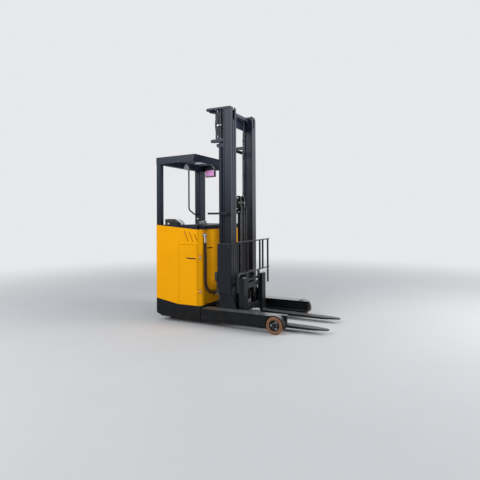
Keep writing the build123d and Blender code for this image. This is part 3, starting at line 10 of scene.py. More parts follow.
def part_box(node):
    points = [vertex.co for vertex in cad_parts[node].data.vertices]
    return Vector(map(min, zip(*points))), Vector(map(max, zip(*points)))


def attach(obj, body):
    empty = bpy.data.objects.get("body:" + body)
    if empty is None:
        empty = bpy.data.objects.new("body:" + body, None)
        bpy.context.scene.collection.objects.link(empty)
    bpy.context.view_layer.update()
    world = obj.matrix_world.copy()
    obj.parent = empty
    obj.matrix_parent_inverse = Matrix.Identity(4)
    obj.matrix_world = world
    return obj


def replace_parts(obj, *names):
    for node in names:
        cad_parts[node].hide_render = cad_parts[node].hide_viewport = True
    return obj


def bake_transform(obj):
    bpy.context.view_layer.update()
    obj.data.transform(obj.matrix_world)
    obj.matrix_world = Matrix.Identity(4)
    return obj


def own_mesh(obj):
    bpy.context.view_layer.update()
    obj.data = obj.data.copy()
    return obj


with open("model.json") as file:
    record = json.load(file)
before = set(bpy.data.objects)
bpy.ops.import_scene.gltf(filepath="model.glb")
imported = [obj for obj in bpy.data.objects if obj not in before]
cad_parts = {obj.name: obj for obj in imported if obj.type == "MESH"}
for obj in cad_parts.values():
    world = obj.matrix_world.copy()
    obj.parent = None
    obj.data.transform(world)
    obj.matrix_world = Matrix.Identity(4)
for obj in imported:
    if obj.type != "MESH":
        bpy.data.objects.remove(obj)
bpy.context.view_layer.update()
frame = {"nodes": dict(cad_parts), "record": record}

bl_info = {
    "name": "Reach Truck Finish",
    "version": (1, 0, 0),
    "blender": (4, 5, 0),
    "location": "View3D > Sidebar > Reach Truck",
    "description": "Dresses the packed reach truck with its paint, hoses, chains, pads and small fittings",
    "category": "Object",
}

NODES = frame["nodes"]
SLOT_OF = {row["node"]: row["material_slot"] for row in frame["record"]["subparts"]}

# Every finish by its name, filled when the finishes are made
FINISHES = {}

# The solids that have another finish than their slot's own
OWN_FINISH = {"outer_mast": "rail_black", "middle_mast": "rail_black", "inner_mast": "rail_black",
              "load_backrest": "rack_black", "mast_side_cover": "rack_black"}

# The camera's place in metres, its bearing, pitch and roll in degrees, and its lens in millimetres
CAMERA_AT = (2.356, -5.088, 1.401)
CAMERA_TURN = (26.273, 0.368, -0.285)
CAMERA_LENS = 31.02
CAMERA_SHIFT = -0.05625

# Colours of the background and the sky, the point both lamps aim at, their places and widths in metres,
# and the distances between which the floor fades out
BACKGROUND = (0.80, 0.81, 0.83)
SKY_LIGHT = (0.89, 0.95, 1.0)
LAMP_AIM = (-0.3, 0.0, 1.1)
KEY_LAMP_AT, KEY_LAMP_WIDTH = (-3.2, -6.0, 4.6), 4.5
FILL_LAMP_AT, FILL_LAMP_WIDTH = (5.2, 1.5, 3.6), 3.5
FLOOR_FADE = (2.6, 9.0)

# The hoses' routes in metres, from the elbows on the front panel to the clip behind the mast
OUTER_HOSE = [(-0.431, -0.480, 1.098), (-0.431, -0.480, 0.960), (-0.428, -0.476, 0.820),
              (-0.426, -0.482, 0.680), (-0.427, -0.484, 0.560), (-0.424, -0.462, 0.455),
              (-0.414, -0.392, 0.392), (-0.402, -0.310, 0.372), (-0.393, -0.222, 0.372)]
INNER_HOSE = [(-0.431, -0.456, 1.098), (-0.431, -0.456, 0.960), (-0.428, -0.450, 0.820),
              (-0.426, -0.455, 0.680), (-0.427, -0.459, 0.565), (-0.424, -0.440, 0.474),
              (-0.414, -0.380, 0.418), (-0.402, -0.305, 0.397), (-0.393, -0.222, 0.396)]
HOSE_THICKNESS = 0.020
HOSE_LENGTHS = (0.91, 0.87)

# The left pair of tilt hoses, from the unions to the fork frame, which the right pair mirrors
TILT_HOSE_INNER = [(-0.070, 0.036, 0.252), (-0.071, 0.044, 0.310), (-0.078, 0.058, 0.400),
                   (-0.090, 0.092, 0.500), (-0.098, 0.122, 0.556), (-0.100, 0.138, 0.574)]
TILT_HOSE_OUTER = [(-0.070, 0.132, 0.252), (-0.074, 0.158, 0.300), (-0.092, 0.172, 0.360),
                   (-0.128, 0.168, 0.450), (-0.146, 0.152, 0.540), (-0.150, 0.142, 0.574)]

# Places of the truck that the fittings share, in metres
PANEL_FRONT = -0.449
BODY_RIGHT = -0.562
LIFT_CYLINDER_X = -0.250
LIFT_CYLINDER_Y = 0.350
CYLINDER_TOP = 2.3988
TOP_PLATE_UNDERSIDE = 2.7892
FREE_CYLINDER_X = -0.150
CHAIN_SHEAVE_Z = 1.636
HOSE_SHEAVE_Z = 1.492
HOSE_SHEAVE_Y = 0.078
HOSE_BEND = 0.053
ROOF_UNDERSIDE = 2.1655
STEERING_X, STEERING_Y = -0.960, 0.300
STEERING_RIM = 0.1035

# The pitch of the lift chains' links, in metres
CHAIN_PITCH = 0.0127

# Colours of road dirt, of the painted highlight on faces that look up, of bare metal, of the painted sky
# reflection high up and of the painted highlight on edges, how strongly a bevel shows as an edge, and the
# depth of the orange peel
ROAD_DUST = (0.085, 0.080, 0.072)
TOP_HIGHLIGHT_COLOUR = (0.16, 0.165, 0.175)
BARE_STEEL = (0.30, 0.29, 0.28)
PAINTED_SKY_REFLECTION = (0.017, 0.025, 0.048)
PAINTED_EDGE_HIGHLIGHT = (0.16, 0.175, 0.20)
EDGE_GAIN = 6.0
PEEL = 0.25

UP, DOWN = (0, 0, 1), (0, 0, -1)
FORWARD, BACK = (1, 0, 0), (-1, 0, 0)
ALONG_Y, RIGHT = (0, 1, 0), (0, -1, 0)


# ---- Sizes and colours that a user would change ----

class TruckPaint(bpy.types.PropertyGroup):
    body: FloatVectorProperty(name="Body", description="Paint of the body panels", subtype="COLOR", size=3,
                              default=(0.95, 0.395, 0.0015), min=0, max=1)
    mast: FloatVectorProperty(name="Mast", description="Paint of the mast and the overhead guard",
                              subtype="COLOR", size=3, default=(0.0095, 0.0120, 0.0175), min=0, max=1)
    base: FloatVectorProperty(name="Base", description="Paint of the base frame and the legs",
                              subtype="COLOR", size=3, default=(0.0065, 0.0075, 0.0090), min=0, max=1)
    forks: FloatVectorProperty(name="Forks", description="Paint of the forks, before it wears off",
                               subtype="COLOR", size=3, default=(0.0120, 0.0125, 0.0140), min=0, max=1)
    tyre: FloatVectorProperty(name="Load tyre", description="Cast polyurethane of the load wheels",
                              subtype="COLOR", size=3, default=(0.34, 0.135, 0.035), min=0, max=1)
    wear: FloatProperty(name="Wear", description="How far the paint has gone from the edges",
                        subtype="FACTOR", default=0.35, min=0, max=1)
    edge: FloatProperty(name="Edge softness", description="Radius that the light finds on painted edges",
                        subtype="DISTANCE", unit="LENGTH", default=0.0025, min=0.0002, max=0.01)


class TruckStage(bpy.types.PropertyGroup):
    floor: FloatVectorProperty(name="Floor", description="Colour of the studio floor", subtype="COLOR",
                               size=3, default=(0.62, 0.62, 0.63), min=0, max=1)
    key_light: FloatProperty(name="Key light", description="Power of the large lamp on the truck's right",
                             unit="POWER", default=265.0, min=0)
    fill_light: FloatProperty(name="Fill light", description="Power of the soft lamp before the forks",
                              unit="POWER", default=215.0, min=0)
    sky: FloatProperty(name="Sky", description="Strength of the even light from all round", default=0.54,
                       min=0, max=2)


# ---- Materials ----

class Field:
    """A shader value that takes part in sums as a plain number does."""

    def __init__(self, tree, socket):
        self.tree = tree
        self.socket = socket

    def sum(self, operation, first, second):
        node = self.tree.nodes.new("ShaderNodeMath")
        node.operation = operation
        for place, value in zip(node.inputs, (first, second)):
            if isinstance(value, Field):
                self.tree.links.new(value.socket, place)
            else:
                place.default_value = value
        return Field(self.tree, node.outputs[0])

    def __add__(self, other):
        return self.sum("ADD", self, other)

    def __radd__(self, other):
        return self.sum("ADD", other, self)

    def __sub__(self, other):
        return self.sum("SUBTRACT", self, other)

    def __rsub__(self, other):
        return self.sum("SUBTRACT", other, self)

    def __mul__(self, other):
        return self.sum("MULTIPLY", self, other)

    def __rmul__(self, other):
        return self.sum("MULTIPLY", other, self)

    def __mod__(self, other):
        return self.sum("FLOORED_MODULO", self, other)

    def __gt__(self, other):
        return self.sum("GREATER_THAN", self, other)

    def held(self):
        """The same value, kept between 0 and 1."""
        return self.sum("MINIMUM", self.sum("MAXIMUM", self, 0.0), 1.0)


class Finish:
    """A material under construction around one Principled shader."""

    def __init__(self, name, **fixed):
        self.material = bpy.data.materials.new(name)
        self.material.use_nodes = True
        self.tree = self.material.node_tree
        self.shader = self.tree.nodes["Principled BSDF"]
        for socket, value in fixed.items():
            self.shader.inputs[socket.replace("_", " ")].default_value = value
        self.place = self.add("TexCoord", out="Object")

    def add(self, kind, settings=None, sockets=None, out=0):
        """Adds a node with its settings, then its socket values or links, and gives one output."""
        node = self.tree.nodes.new("ShaderNode" + kind)
        for name, value in (settings or {}).items():
            setattr(node, name, value)
        for name, value in (sockets or {}).items():
            if isinstance(value, Field):
                self.tree.links.new(value.socket, node.inputs[name])
            else:
                node.inputs[name].default_value = value
        return Field(self.tree, node.outputs[out])

    def feed(self, **values):
        """Links varying values to the shader's own sockets."""
        for name, value in values.items():
            self.tree.links.new(value.socket, self.shader.inputs[name.replace("_", " ")])
        return self.material

    def noise(self, scale, detail=3.0, stretch=(1, 1, 1)):
        """Soft random variation, with its grain stretched along the truck's axes."""
        vector = self.place
        if stretch != (1, 1, 1):
            vector = self.add("Mapping", None, {"Vector": self.place, "Scale": stretch})
        return self.add("TexNoise", None, {"Vector": vector, "Scale": scale, "Detail": detail,
                                           "Roughness": 0.55}, "Fac")

    def band(self, value, low, high):
        """Maps a value between two limits to 0 and 1, softly."""
        return self.add("MapRange", {"interpolation_type": "SMOOTHSTEP"},
                        {"Value": value, "From Min": low, "From Max": high}, "Result")

    def blend(self, share, first, second):
        """Mixes two colours, each a colour or a field."""
        sockets = {0: share}
        for place, colour in ((6, first), (7, second)):
            sockets[place] = colour if isinstance(colour, Field) else (*colour[:3], 1.0)
        return self.add("Mix", {"data_type": "RGBA"}, sockets, 2)

    def rounded(self, radius):
        """The surface normal with its edges softened."""
        return self.add("Bevel", {"samples": 6}, {"Radius": radius}, 0)

    def edges(self, radius):
        """1 along edges and 0 on flat faces."""
        flat = self.add("NewGeometry", out="Normal")
        soft = self.rounded(radius)
        agree = self.add("VectorMath", {"operation": "DOT_PRODUCT"}, {0: flat, 1: soft}, "Value")
        return ((1.0 - agree) * EDGE_GAIN).held()

    def height(self):
        """The height above the floor, in metres."""
        return self.add("SeparateXYZ", None, {"Vector": self.place}, "Z")

    def facing(self, axis, way=1):
        """1 on faces that look along an axis, such as those that dust settles on, and 0 across it."""
        flat = self.add("NewGeometry", out="Normal")
        return self.band(self.add("SeparateXYZ", None, {"Vector": flat}, axis) * way, 0.45, 0.95)

    def bumped(self, height, strength, distance, normal=None):
        """The surface normal roughened by a height pattern."""
        sockets = {"Height": height, "Strength": strength, "Distance": distance}
        if normal is not None:
            sockets["Normal"] = normal
        return self.add("Bump", None, sockets, 0)


def shade(colour, factor):
    """A colour made lighter or darker."""
    return tuple(min(1.0, part * factor) for part in colour[:3])


def sprayed_paint(name, colour, roughness, bare=BARE_STEEL, dust=0.2, wear=0.35, edge=0.0025, gloss=0.2,
                  rim=None, top_highlight=0.0, sheen=None, polish=0.75, sky=None):
    """Sprayed paint with orange peel, faint clouds, scuffs, road dust low down, worn edges and painted
    highlights.

    The top-face strength gives a painted highlight on faces that look up, rim a painted highlight along the
    edges, sheen the axis whose faces shine by polish, and sky a painted sky reflection high up.
    """
    finish = Finish(name, Specular_IOR_Level=gloss, Coat_Roughness=0.25)
    clouds = finish.noise(2.3, 4.0)
    fine = finish.noise(38.0, 5.0)
    tint = finish.blend(clouds, shade(colour, 0.88), shade(colour, 1.10))
    scuffs = finish.band(finish.noise(5.0, 8.0, (1, 1, 7)), 0.60, 0.80) * 0.22
    tint = finish.blend(scuffs * fine, tint, shade([part + 0.03 for part in colour], 1.10))
    if sky is not None:
        # Painted sky reflection: the paint turns bluer from 0.9 m up to 2.4 m.
        tint = finish.blend(finish.band(finish.height(), 0.9, 2.4) * 0.8, tint, sky)
    low = 1.0 - finish.band(finish.height(), 0.02, 0.40)
    dirt = (low * finish.band(finish.noise(9.0, 7.0, (1, 1, 2.5)), 0.40, 0.85) * dust).held()
    tint = finish.blend(dirt, tint, ROAD_DUST)
    # Painted highlight: faces that look up are lightened towards a pale grey, for the sky's light on them.
    top_highlight_share = (finish.facing("Z") * (0.35 + 0.65 * fine) * top_highlight).held()
    tint = finish.blend(top_highlight_share, tint, TOP_HIGHLIGHT_COLOUR)
    edges = finish.edges(edge)
    if rim is not None:
        # Painted highlight: the edges are lightened towards the rim colour.
        tint = finish.blend(edges * 0.55, tint, rim)
    worn = (edges * finish.band(finish.noise(24.0, 6.0), 0.62 - 0.30 * wear, 0.80) * wear).held()
    tint = finish.blend(worn, tint, bare)
    rough = (roughness + (fine - 0.5) * 0.12 + dirt * 0.30 - worn * 0.10).held()
    surface = finish.bumped(finish.noise(420.0, 2.0), PEEL, 0.0004, finish.rounded(edge))
    if sheen is not None:
        finish.feed(Coat_Weight=(finish.facing(sheen) * (polish + 0.25 * clouds)).held())
    return finish.feed(Base_Color=tint, Roughness=rough, Normal=surface)


def cast_polyurethane(colour):
    """Orange-brown tyre, glossy and faintly translucent looking, with a dulled tread."""
    finish = Finish("cast_polyurethane", Specular_IOR_Level=0.45, Subsurface_Weight=0.05,
                    Subsurface_Scale=0.01)
    clouds = finish.noise(9.0, 5.0)
    tint = finish.blend(clouds, shade(colour, 0.70), shade(colour, 1.20))
    marks = finish.band(finish.noise(55.0, 8.0), 0.58, 0.80)
    tint = finish.blend(marks * 0.45, tint, (0.10, 0.055, 0.030))
    sides = (finish.facing("Y") + finish.facing("Y", -1)).held()
    tint = finish.blend(sides * (0.55 + 0.45 * clouds), tint, (0.165, 0.080, 0.044))
    rough = (0.38 + marks * 0.25 + clouds * 0.10).held()
    surface = finish.bumped(finish.noise(160.0, 4.0), 0.25, 0.0006, finish.rounded(0.003))
    return finish.feed(Base_Color=tint, Roughness=rough, Normal=surface)


def rubber(name, colour, roughness, grain, dust=0.25):
    """Dull rubber with a fine grain and pale dust in it."""
    finish = Finish(name, Specular_IOR_Level=0.35)
    clouds = finish.noise(11.0, 5.0)
    tint = finish.blend(clouds * dust, shade(colour, 0.85), [part + 0.06 for part in colour])
    rough = (roughness + (clouds - 0.5) * 0.2).held()
    surface = finish.bumped(finish.noise(grain, 3.0), 0.35, 0.0005, finish.rounded(0.0015))
    return finish.feed(Base_Color=tint, Roughness=rough, Normal=surface)


def moulded_plastic(name, colour, roughness, grain=520.0):
    """Moulded plastic with a fine leather-like grain and a little handling shine."""
    finish = Finish(name, Specular_IOR_Level=0.5)
    clouds = finish.noise(6.0, 3.0)
    tint = finish.blend(clouds, shade(colour, 0.88), shade(colour, 1.12))
    rough = (roughness + (clouds - 0.5) * 0.22).held()
    cells = finish.add("TexVoronoi", None, {"Vector": finish.place, "Scale": grain}, "Distance")
    surface = finish.bumped(cells, 0.30, 0.0003, finish.rounded(0.0012))
    return finish.feed(Base_Color=tint, Roughness=rough, Normal=surface)


def bare_steel(name, colour, roughness, stain=0.3, scale=60.0, stretch=(1, 1, 1)):
    """Bare or plated steel with brushed streaks and oily stains."""
    finish = Finish(name, Metallic=1.0)
    streaks = finish.noise(scale, 6.0, stretch)
    stains = finish.band(finish.noise(8.0, 6.0), 0.50, 0.75)
    tint = finish.blend(streaks, shade(colour, 0.80), shade(colour, 1.15))
    tint = finish.blend(stains * stain, tint, shade(colour, 0.25))
    rough = (roughness + (streaks - 0.5) * 0.16 + stains * stain * 0.25).held()
    surface = finish.bumped(streaks, 0.12, 0.0003, finish.rounded(0.001))
    return finish.feed(Base_Color=tint, Roughness=rough, Normal=surface)


def vinyl(name, colour):
    """Upholstery vinyl with a pebbled grain."""
    finish = Finish(name, Specular_IOR_Level=0.3, Coat_Weight=0.04, Coat_Roughness=0.35)
    cells = finish.add("TexVoronoi", {"feature": "SMOOTH_F1"},
                       {"Vector": finish.place, "Scale": 260.0, "Smoothness": 0.6}, "Distance")
    clouds = finish.noise(5.0, 4.0)
    tint = finish.blend(clouds, shade(colour, 0.8), shade(colour, 1.5))
    rough = (0.42 + (clouds - 0.5) * 0.2 + cells * 0.1).held()
    surface = finish.bumped(cells, 0.5, 0.0008)
    return finish.feed(Base_Color=tint, Roughness=rough, Normal=surface)


def screen_glass():
    """A switched-on display: a soft violet and white glow under glass."""
    finish = Finish("lit_screen", Roughness=0.08, Emission_Strength=0.75, Coat_Weight=0.6,
                    Coat_Roughness=0.04)
    x = finish.add("SeparateXYZ", None, {"Vector": finish.place}, "X")
    z = finish.add("SeparateXYZ", None, {"Vector": finish.place}, "Z")
    across = finish.band(x, -0.690, -0.560)
    rows = (z * 95.0 % 1.0 > 0.88) * 0.25
    patch = finish.band(finish.noise(26.0, 2.0), 0.42, 0.60)
    glow = finish.blend((across * 0.75 + patch * 0.25).held(), (0.52, 0.16, 0.46), (0.86, 0.42, 0.82))
    glow = finish.blend(rows.held(), glow, (0.30, 0.08, 0.26))
    glass = finish.blend(patch, (0.02, 0.015, 0.02), (0.03, 0.02, 0.03))
    return finish.feed(Base_Color=glass, Emission_Color=glow)


def make_finishes(paint):
    """Every finish of the truck by its name."""
    worn = {"wear": paint.wear, "edge": paint.edge}
    # This set adds the painted sky reflection high up, besides the wear.
    tall = {"sky": PAINTED_SKY_REFLECTION, **worn}
    # Each rim colour is a painted highlight on the edges, and each top-face strength a painted highlight on
    # faces that look up.
    return {
        "body_yellow": sprayed_paint("body_yellow", paint.body, 0.36, (0.32, 0.20, 0.06), dust=0.10,
                                     wear=paint.wear * 0.4, edge=paint.edge, gloss=0.06),
        "mast_black": sprayed_paint("mast_black", paint.mast, 0.34, rim=(0.085, 0.095, 0.115),
                                    top_highlight=0.25, **tall),
        "base_black": sprayed_paint("base_black", paint.base, 0.30, dust=0.22, gloss=0.16,
                                    rim=(0.060, 0.064, 0.070), top_highlight=0.85, sheen="Z", **worn),
        "rail_black": sprayed_paint("rail_black", paint.mast, 0.34, rim=PAINTED_EDGE_HIGHLIGHT, top_highlight=0.25, sheen="X",
                                    polish=0.42, **tall),
        "rack_black": sprayed_paint("rack_black", paint.mast, 0.34, rim=PAINTED_EDGE_HIGHLIGHT, top_highlight=1.8, sheen="Z",
                                    **tall),
        "fork_black": sprayed_paint("fork_black", paint.forks, 0.40, (0.20, 0.20, 0.20), dust=0.25,
                                    wear=0.8, edge=0.004, gloss=0.16, top_highlight=0.9),
        "polyurethane": cast_polyurethane(paint.tyre),
        "hub_black": sprayed_paint("hub_black", (0.012, 0.012, 0.013), 0.26, dust=0.15, wear=0.2,
                                   edge=0.0015),
        "drive_rubber": rubber("drive_rubber", (0.035, 0.032, 0.030), 0.70, 140.0),
        # Painted shade: the polished rod's steel is darkened to stand in for the shade and the dark
        # surroundings that it reflects.
        "polished_rod": bare_steel("polished_rod", (0.034, 0.037, 0.044), 0.32, 0.35, 90.0, (1, 1, 0.05)),
        "zinc_steel": bare_steel("zinc_steel", (0.55, 0.55, 0.53), 0.36),
        "hose_rubber": rubber("hose_rubber", (0.042, 0.020, 0.014), 0.34, 320.0, 0.10),
        "pad_vinyl": vinyl("pad_vinyl", (0.0085, 0.0082, 0.0085)),
        "black_plastic": moulded_plastic("black_plastic", (0.016, 0.016, 0.017), 0.44),
        "grey_plastic": moulded_plastic("grey_plastic", (0.30, 0.32, 0.34), 0.42),
        "floor_rubber": rubber("floor_rubber", (0.020, 0.020, 0.021), 0.72, 90.0, 0.5),
        "battery_grey": sprayed_paint("battery_grey", (0.05, 0.05, 0.055), 0.50, dust=0.3, wear=0.3),
        "chain_steel": bare_steel("chain_steel", (0.46, 0.46, 0.47), 0.34, 0.45, 140.0),
        "arm_grey": moulded_plastic("arm_grey", (0.34, 0.36, 0.38), 0.40),
        "pale_trim": moulded_plastic("pale_trim", (0.62, 0.63, 0.64), 0.32, 700.0),
        "bright_fitting": bare_steel("bright_fitting", (0.42, 0.43, 0.46), 0.34, 0.25),
        "dark_nut": bare_steel("dark_nut", (0.14, 0.14, 0.14), 0.34, 0.40),
        "sleeve_rubber": rubber("sleeve_rubber", (0.060, 0.060, 0.064), 0.30, 260.0, 0.15),
        # Darker orange: painted shade inside the louvres.
        "body_painted_shade": sprayed_paint("body_painted_shade", (0.40, 0.105, 0.001), 0.50),
        # Near-black: painted shade inside the slots.
        "slot_painted_shade": rubber("slot_painted_shade", (0.010, 0.003, 0.002), 0.60, 200.0, 0.05),
        "cream_ferrule": bare_steel("cream_ferrule", (0.66, 0.60, 0.48), 0.38, 0.20),
        "pale_pipe": sprayed_paint("pale_pipe", (0.230, 0.245, 0.280), 0.40, dust=0.1, wear=0.3),
        "stop_red": moulded_plastic("stop_red", (0.50, 0.012, 0.010), 0.30),
        "dark_urethane": rubber("dark_urethane", (0.090, 0.020, 0.014), 0.45, 160.0, 0.10),
        "lit_screen": screen_glass(),
    }


# ---- Shapes ----

def finish_of(name):
    """A finish that has been made, by its name."""
    if name not in FINISHES:
        raise RuntimeError(f"the finish {name} isn't made yet")
    return FINISHES[name]


def placed(name, data, finish, body):
    """Puts a shape into the scene with its finish and its slot, riding on a body if one is given."""
    piece = bpy.data.objects.new(name, data)
    bpy.context.scene.collection.objects.link(piece)
    data.materials.append(finish_of(finish))
    if body:
        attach(piece, body)
    return piece


def keep_mesh(build, name, finish, body, sharp=32.0):
    """Turns a finished bmesh into an object that rides on a body."""
    mesh = bpy.data.meshes.new(name)
    build.to_mesh(mesh)
    build.free()
    mesh.shade_smooth()
    mesh.set_sharp_from_angle(angle=math.radians(sharp))
    return placed(name, mesh, finish, body)


def spun(degrees, axis):
    """A turn about an axis through the origin."""
    return Matrix.Rotation(math.radians(degrees), 4, axis)


def round_place(radius, degrees, height=0.0):
    """The shift to a place at an angle on a circle about Z."""
    angle = math.radians(degrees)
    return Matrix.Translation((radius * math.cos(angle), radius * math.sin(angle), height))


def joined(build, part, at=(0, 0, 0), facing=UP, before=Matrix()):
    """Puts a shape into a larger one: moved by a matrix, then set at a place with +Z facing a way."""
    turn = Matrix() if facing == UP else Vector(facing).to_track_quat("Z", "Y").to_matrix().to_4x4()
    part.transform(Matrix.Translation(at) @ turn @ before)
    mesh = bpy.data.meshes.new("shape")
    part.to_mesh(mesh)
    part.free()
    build.from_mesh(mesh)
    bpy.data.meshes.remove(mesh)


def soft_box(size, soft, segments=2):
    """A box about the origin with its edges rounded."""
    build = bmesh.new()
    bmesh.ops.create_cube(build, size=1.0)
    bmesh.ops.scale(build, vec=size, verts=build.verts)
    bmesh.ops.bevel(build, geom=build.edges[:], offset=soft, segments=segments, profile=0.5,
                    affect="EDGES", clamp_overlap=True, material=-1)
    return build


def box_between(build, low, high, soft=0.001, segments=2):
    """Adds a softened box between two corners."""
    size = [top - foot for foot, top in zip(low, high)]
    centre = [(foot + top) / 2 for foot, top in zip(low, high)]
    joined(build, soft_box(size, min(soft, 0.45 * min(size)), segments), centre)


def turned(profile, steps=32):
    """A round shape from an outline of radii and heights about Z."""
    build = bmesh.new()
    rim = [build.verts.new((radius, 0, height)) for radius, height in profile]
    edges = [build.edges.new(pair) for pair in zip(rim, rim[1:])]
    bmesh.ops.spin(build, geom=rim + edges, cent=(0, 0, 0), axis=(0, 0, 1), dvec=(0, 0, 0),
                   angle=2 * math.pi, steps=steps, use_merge=True)
    bmesh.ops.remove_doubles(build, verts=build.verts, dist=1e-6)
    bmesh.ops.recalc_face_normals(build, faces=build.faces)
    return build


def plate(outline, thickness, soft=0.0008):
    """A flat plate from an outline in its own XY plane, with softened rims."""
    build = bmesh.new()
    face = build.faces.new([build.verts.new((x, y, 0)) for x, y in outline])
    raised = bmesh.ops.extrude_face_region(build, geom=[face])["geom"]
    bmesh.ops.translate(build, vec=(0, 0, thickness),
                        verts=[item for item in raised if isinstance(item, bmesh.types.BMVert)])
    bmesh.ops.recalc_face_normals(build, faces=build.faces)
    if soft:
        bmesh.ops.bevel(build, geom=build.edges[:], offset=soft, segments=2, profile=0.5, affect="EDGES",
                        clamp_overlap=True, material=-1)
    return build


def disc(radius, height, soft=0.0008, steps=24):
    """A short round bar standing on the origin, its top rim rounded."""
    return turned([(0, 0), (radius, 0), (radius, height - soft), (radius - 0.3 * soft, height - 0.3 * soft),
                   (radius - soft, height), (0, height)], steps)


def hexagon(across, height):
    """A hexagonal nut shape standing on the origin."""
    build = bmesh.new()
    bmesh.ops.create_cone(build, cap_ends=True, segments=6, radius1=across / 1.732, radius2=across / 1.732,
                          depth=height)
    bmesh.ops.translate(build, vec=(0, 0, height / 2), verts=build.verts)
    bmesh.ops.bevel(build, geom=build.edges[:], offset=0.06 * across, segments=1, profile=0.5,
                    affect="EDGES", clamp_overlap=True, material=-1)
    return build


def bolt(across, stud=0.0):
    """A hexagon head on its washer, with its seat at the origin and a threaded end if asked for."""
    build = disc(across * 0.92, across * 0.13, across * 0.04, 20)
    joined(build, hexagon(across, across * 0.62), (0, 0, across * 0.12))
    if stud:
        joined(build, disc(across * 0.30, stud, across * 0.08, 12), (0, 0, across * 0.70))
    return build


def screw(radius):
    """A domed socket screw with its seat at the origin."""
    height = radius * 0.55
    return turned([(0, 0), (radius, 0), (radius * 0.92, height * 0.55), (radius * 0.62, height * 0.95),
                   (radius * 0.45, height), (radius * 0.42, height * 0.35), (0, height * 0.30)], 18)


def tube(build, at, facing, radius, length, soft=0.0006, steps=20):
    """Adds a round bar or pipe that starts at a place and points along a direction."""
    joined(build, disc(radius, length, soft, steps), at, facing)


def union(build, at, facing, across, length):
    """Adds a pipe union: a hexagon nut between two narrower collars."""
    start = Vector(at)
    tube(build, start, facing, across * 0.42, length)
    nut_at = start + Vector(facing).normalized() * length * 0.25
    joined(build, hexagon(across, length * 0.5), nut_at, facing)


def side_plate(build, outline, y, thickness, soft=0.0008):
    """Adds an upright plate from an outline of X and Z, growing from a Y value towards +Y."""
    part = plate(outline, thickness, soft)
    part.transform(Matrix(((1, 0, 0, 0), (0, 0, 1, y), (0, 1, 0, 0), (0, 0, 0, 1))))
    bmesh.ops.recalc_face_normals(part, faces=part.faces)
    joined(build, part)


def fixings(build, places, facing, across, head=bolt):
    """Adds a row of bolts with their washers, or of screws, all facing one way."""
    for at in places:
        joined(build, head(across), at, facing)


def line_curve(name, points, thickness, finish, body):
    """A smooth round line through space, capped at both ends."""
    curve = bpy.data.curves.new(name, "CURVE")
    curve.dimensions = "3D"
    curve.bevel_depth = thickness / 2
    curve.bevel_resolution = 4
    curve.resolution_u = 12
    curve.use_fill_caps = True
    spline = curve.splines.new("NURBS")
    spline.points.add(len(points) - 1)
    for place, point in zip(spline.points, points):
        place.co = (*point, 1.0)
    spline.order_u = 3
    spline.use_endpoint_u = True
    return placed(name, curve, finish, body)


def soften(piece):
    """Applies every modifier of a piece to its mesh."""
    shape = bpy.data.meshes.new_from_object(piece.evaluated_get(bpy.context.evaluated_depsgraph_get()))
    piece.modifiers.clear()
    old, piece.data = piece.data, shape
    bpy.data.meshes.remove(old)


def swell(piece, pressure, cap):
    """Blows a closed fabric form up with a short cloth simulation, no point moving past a cap."""
    scene = bpy.context.scene
    start = [point.co.copy() for point in piece.data.vertices]
    cloth = piece.modifiers.new("cloth", "CLOTH")
    cloth.settings.use_pressure = True
    cloth.settings.uniform_pressure_force = pressure
    cloth.settings.effector_weights.gravity = 0
    cloth.settings.quality = 6
    for frame_number in range(1, 21):
        scene.frame_set(frame_number)
    soften(piece)
    scene.frame_set(1)
    for point, was in zip(piece.data.vertices, start):
        move = point.co - was
        if move.length > cap:
            point.co = was + move.normalized() * cap


# ---- Operators ----

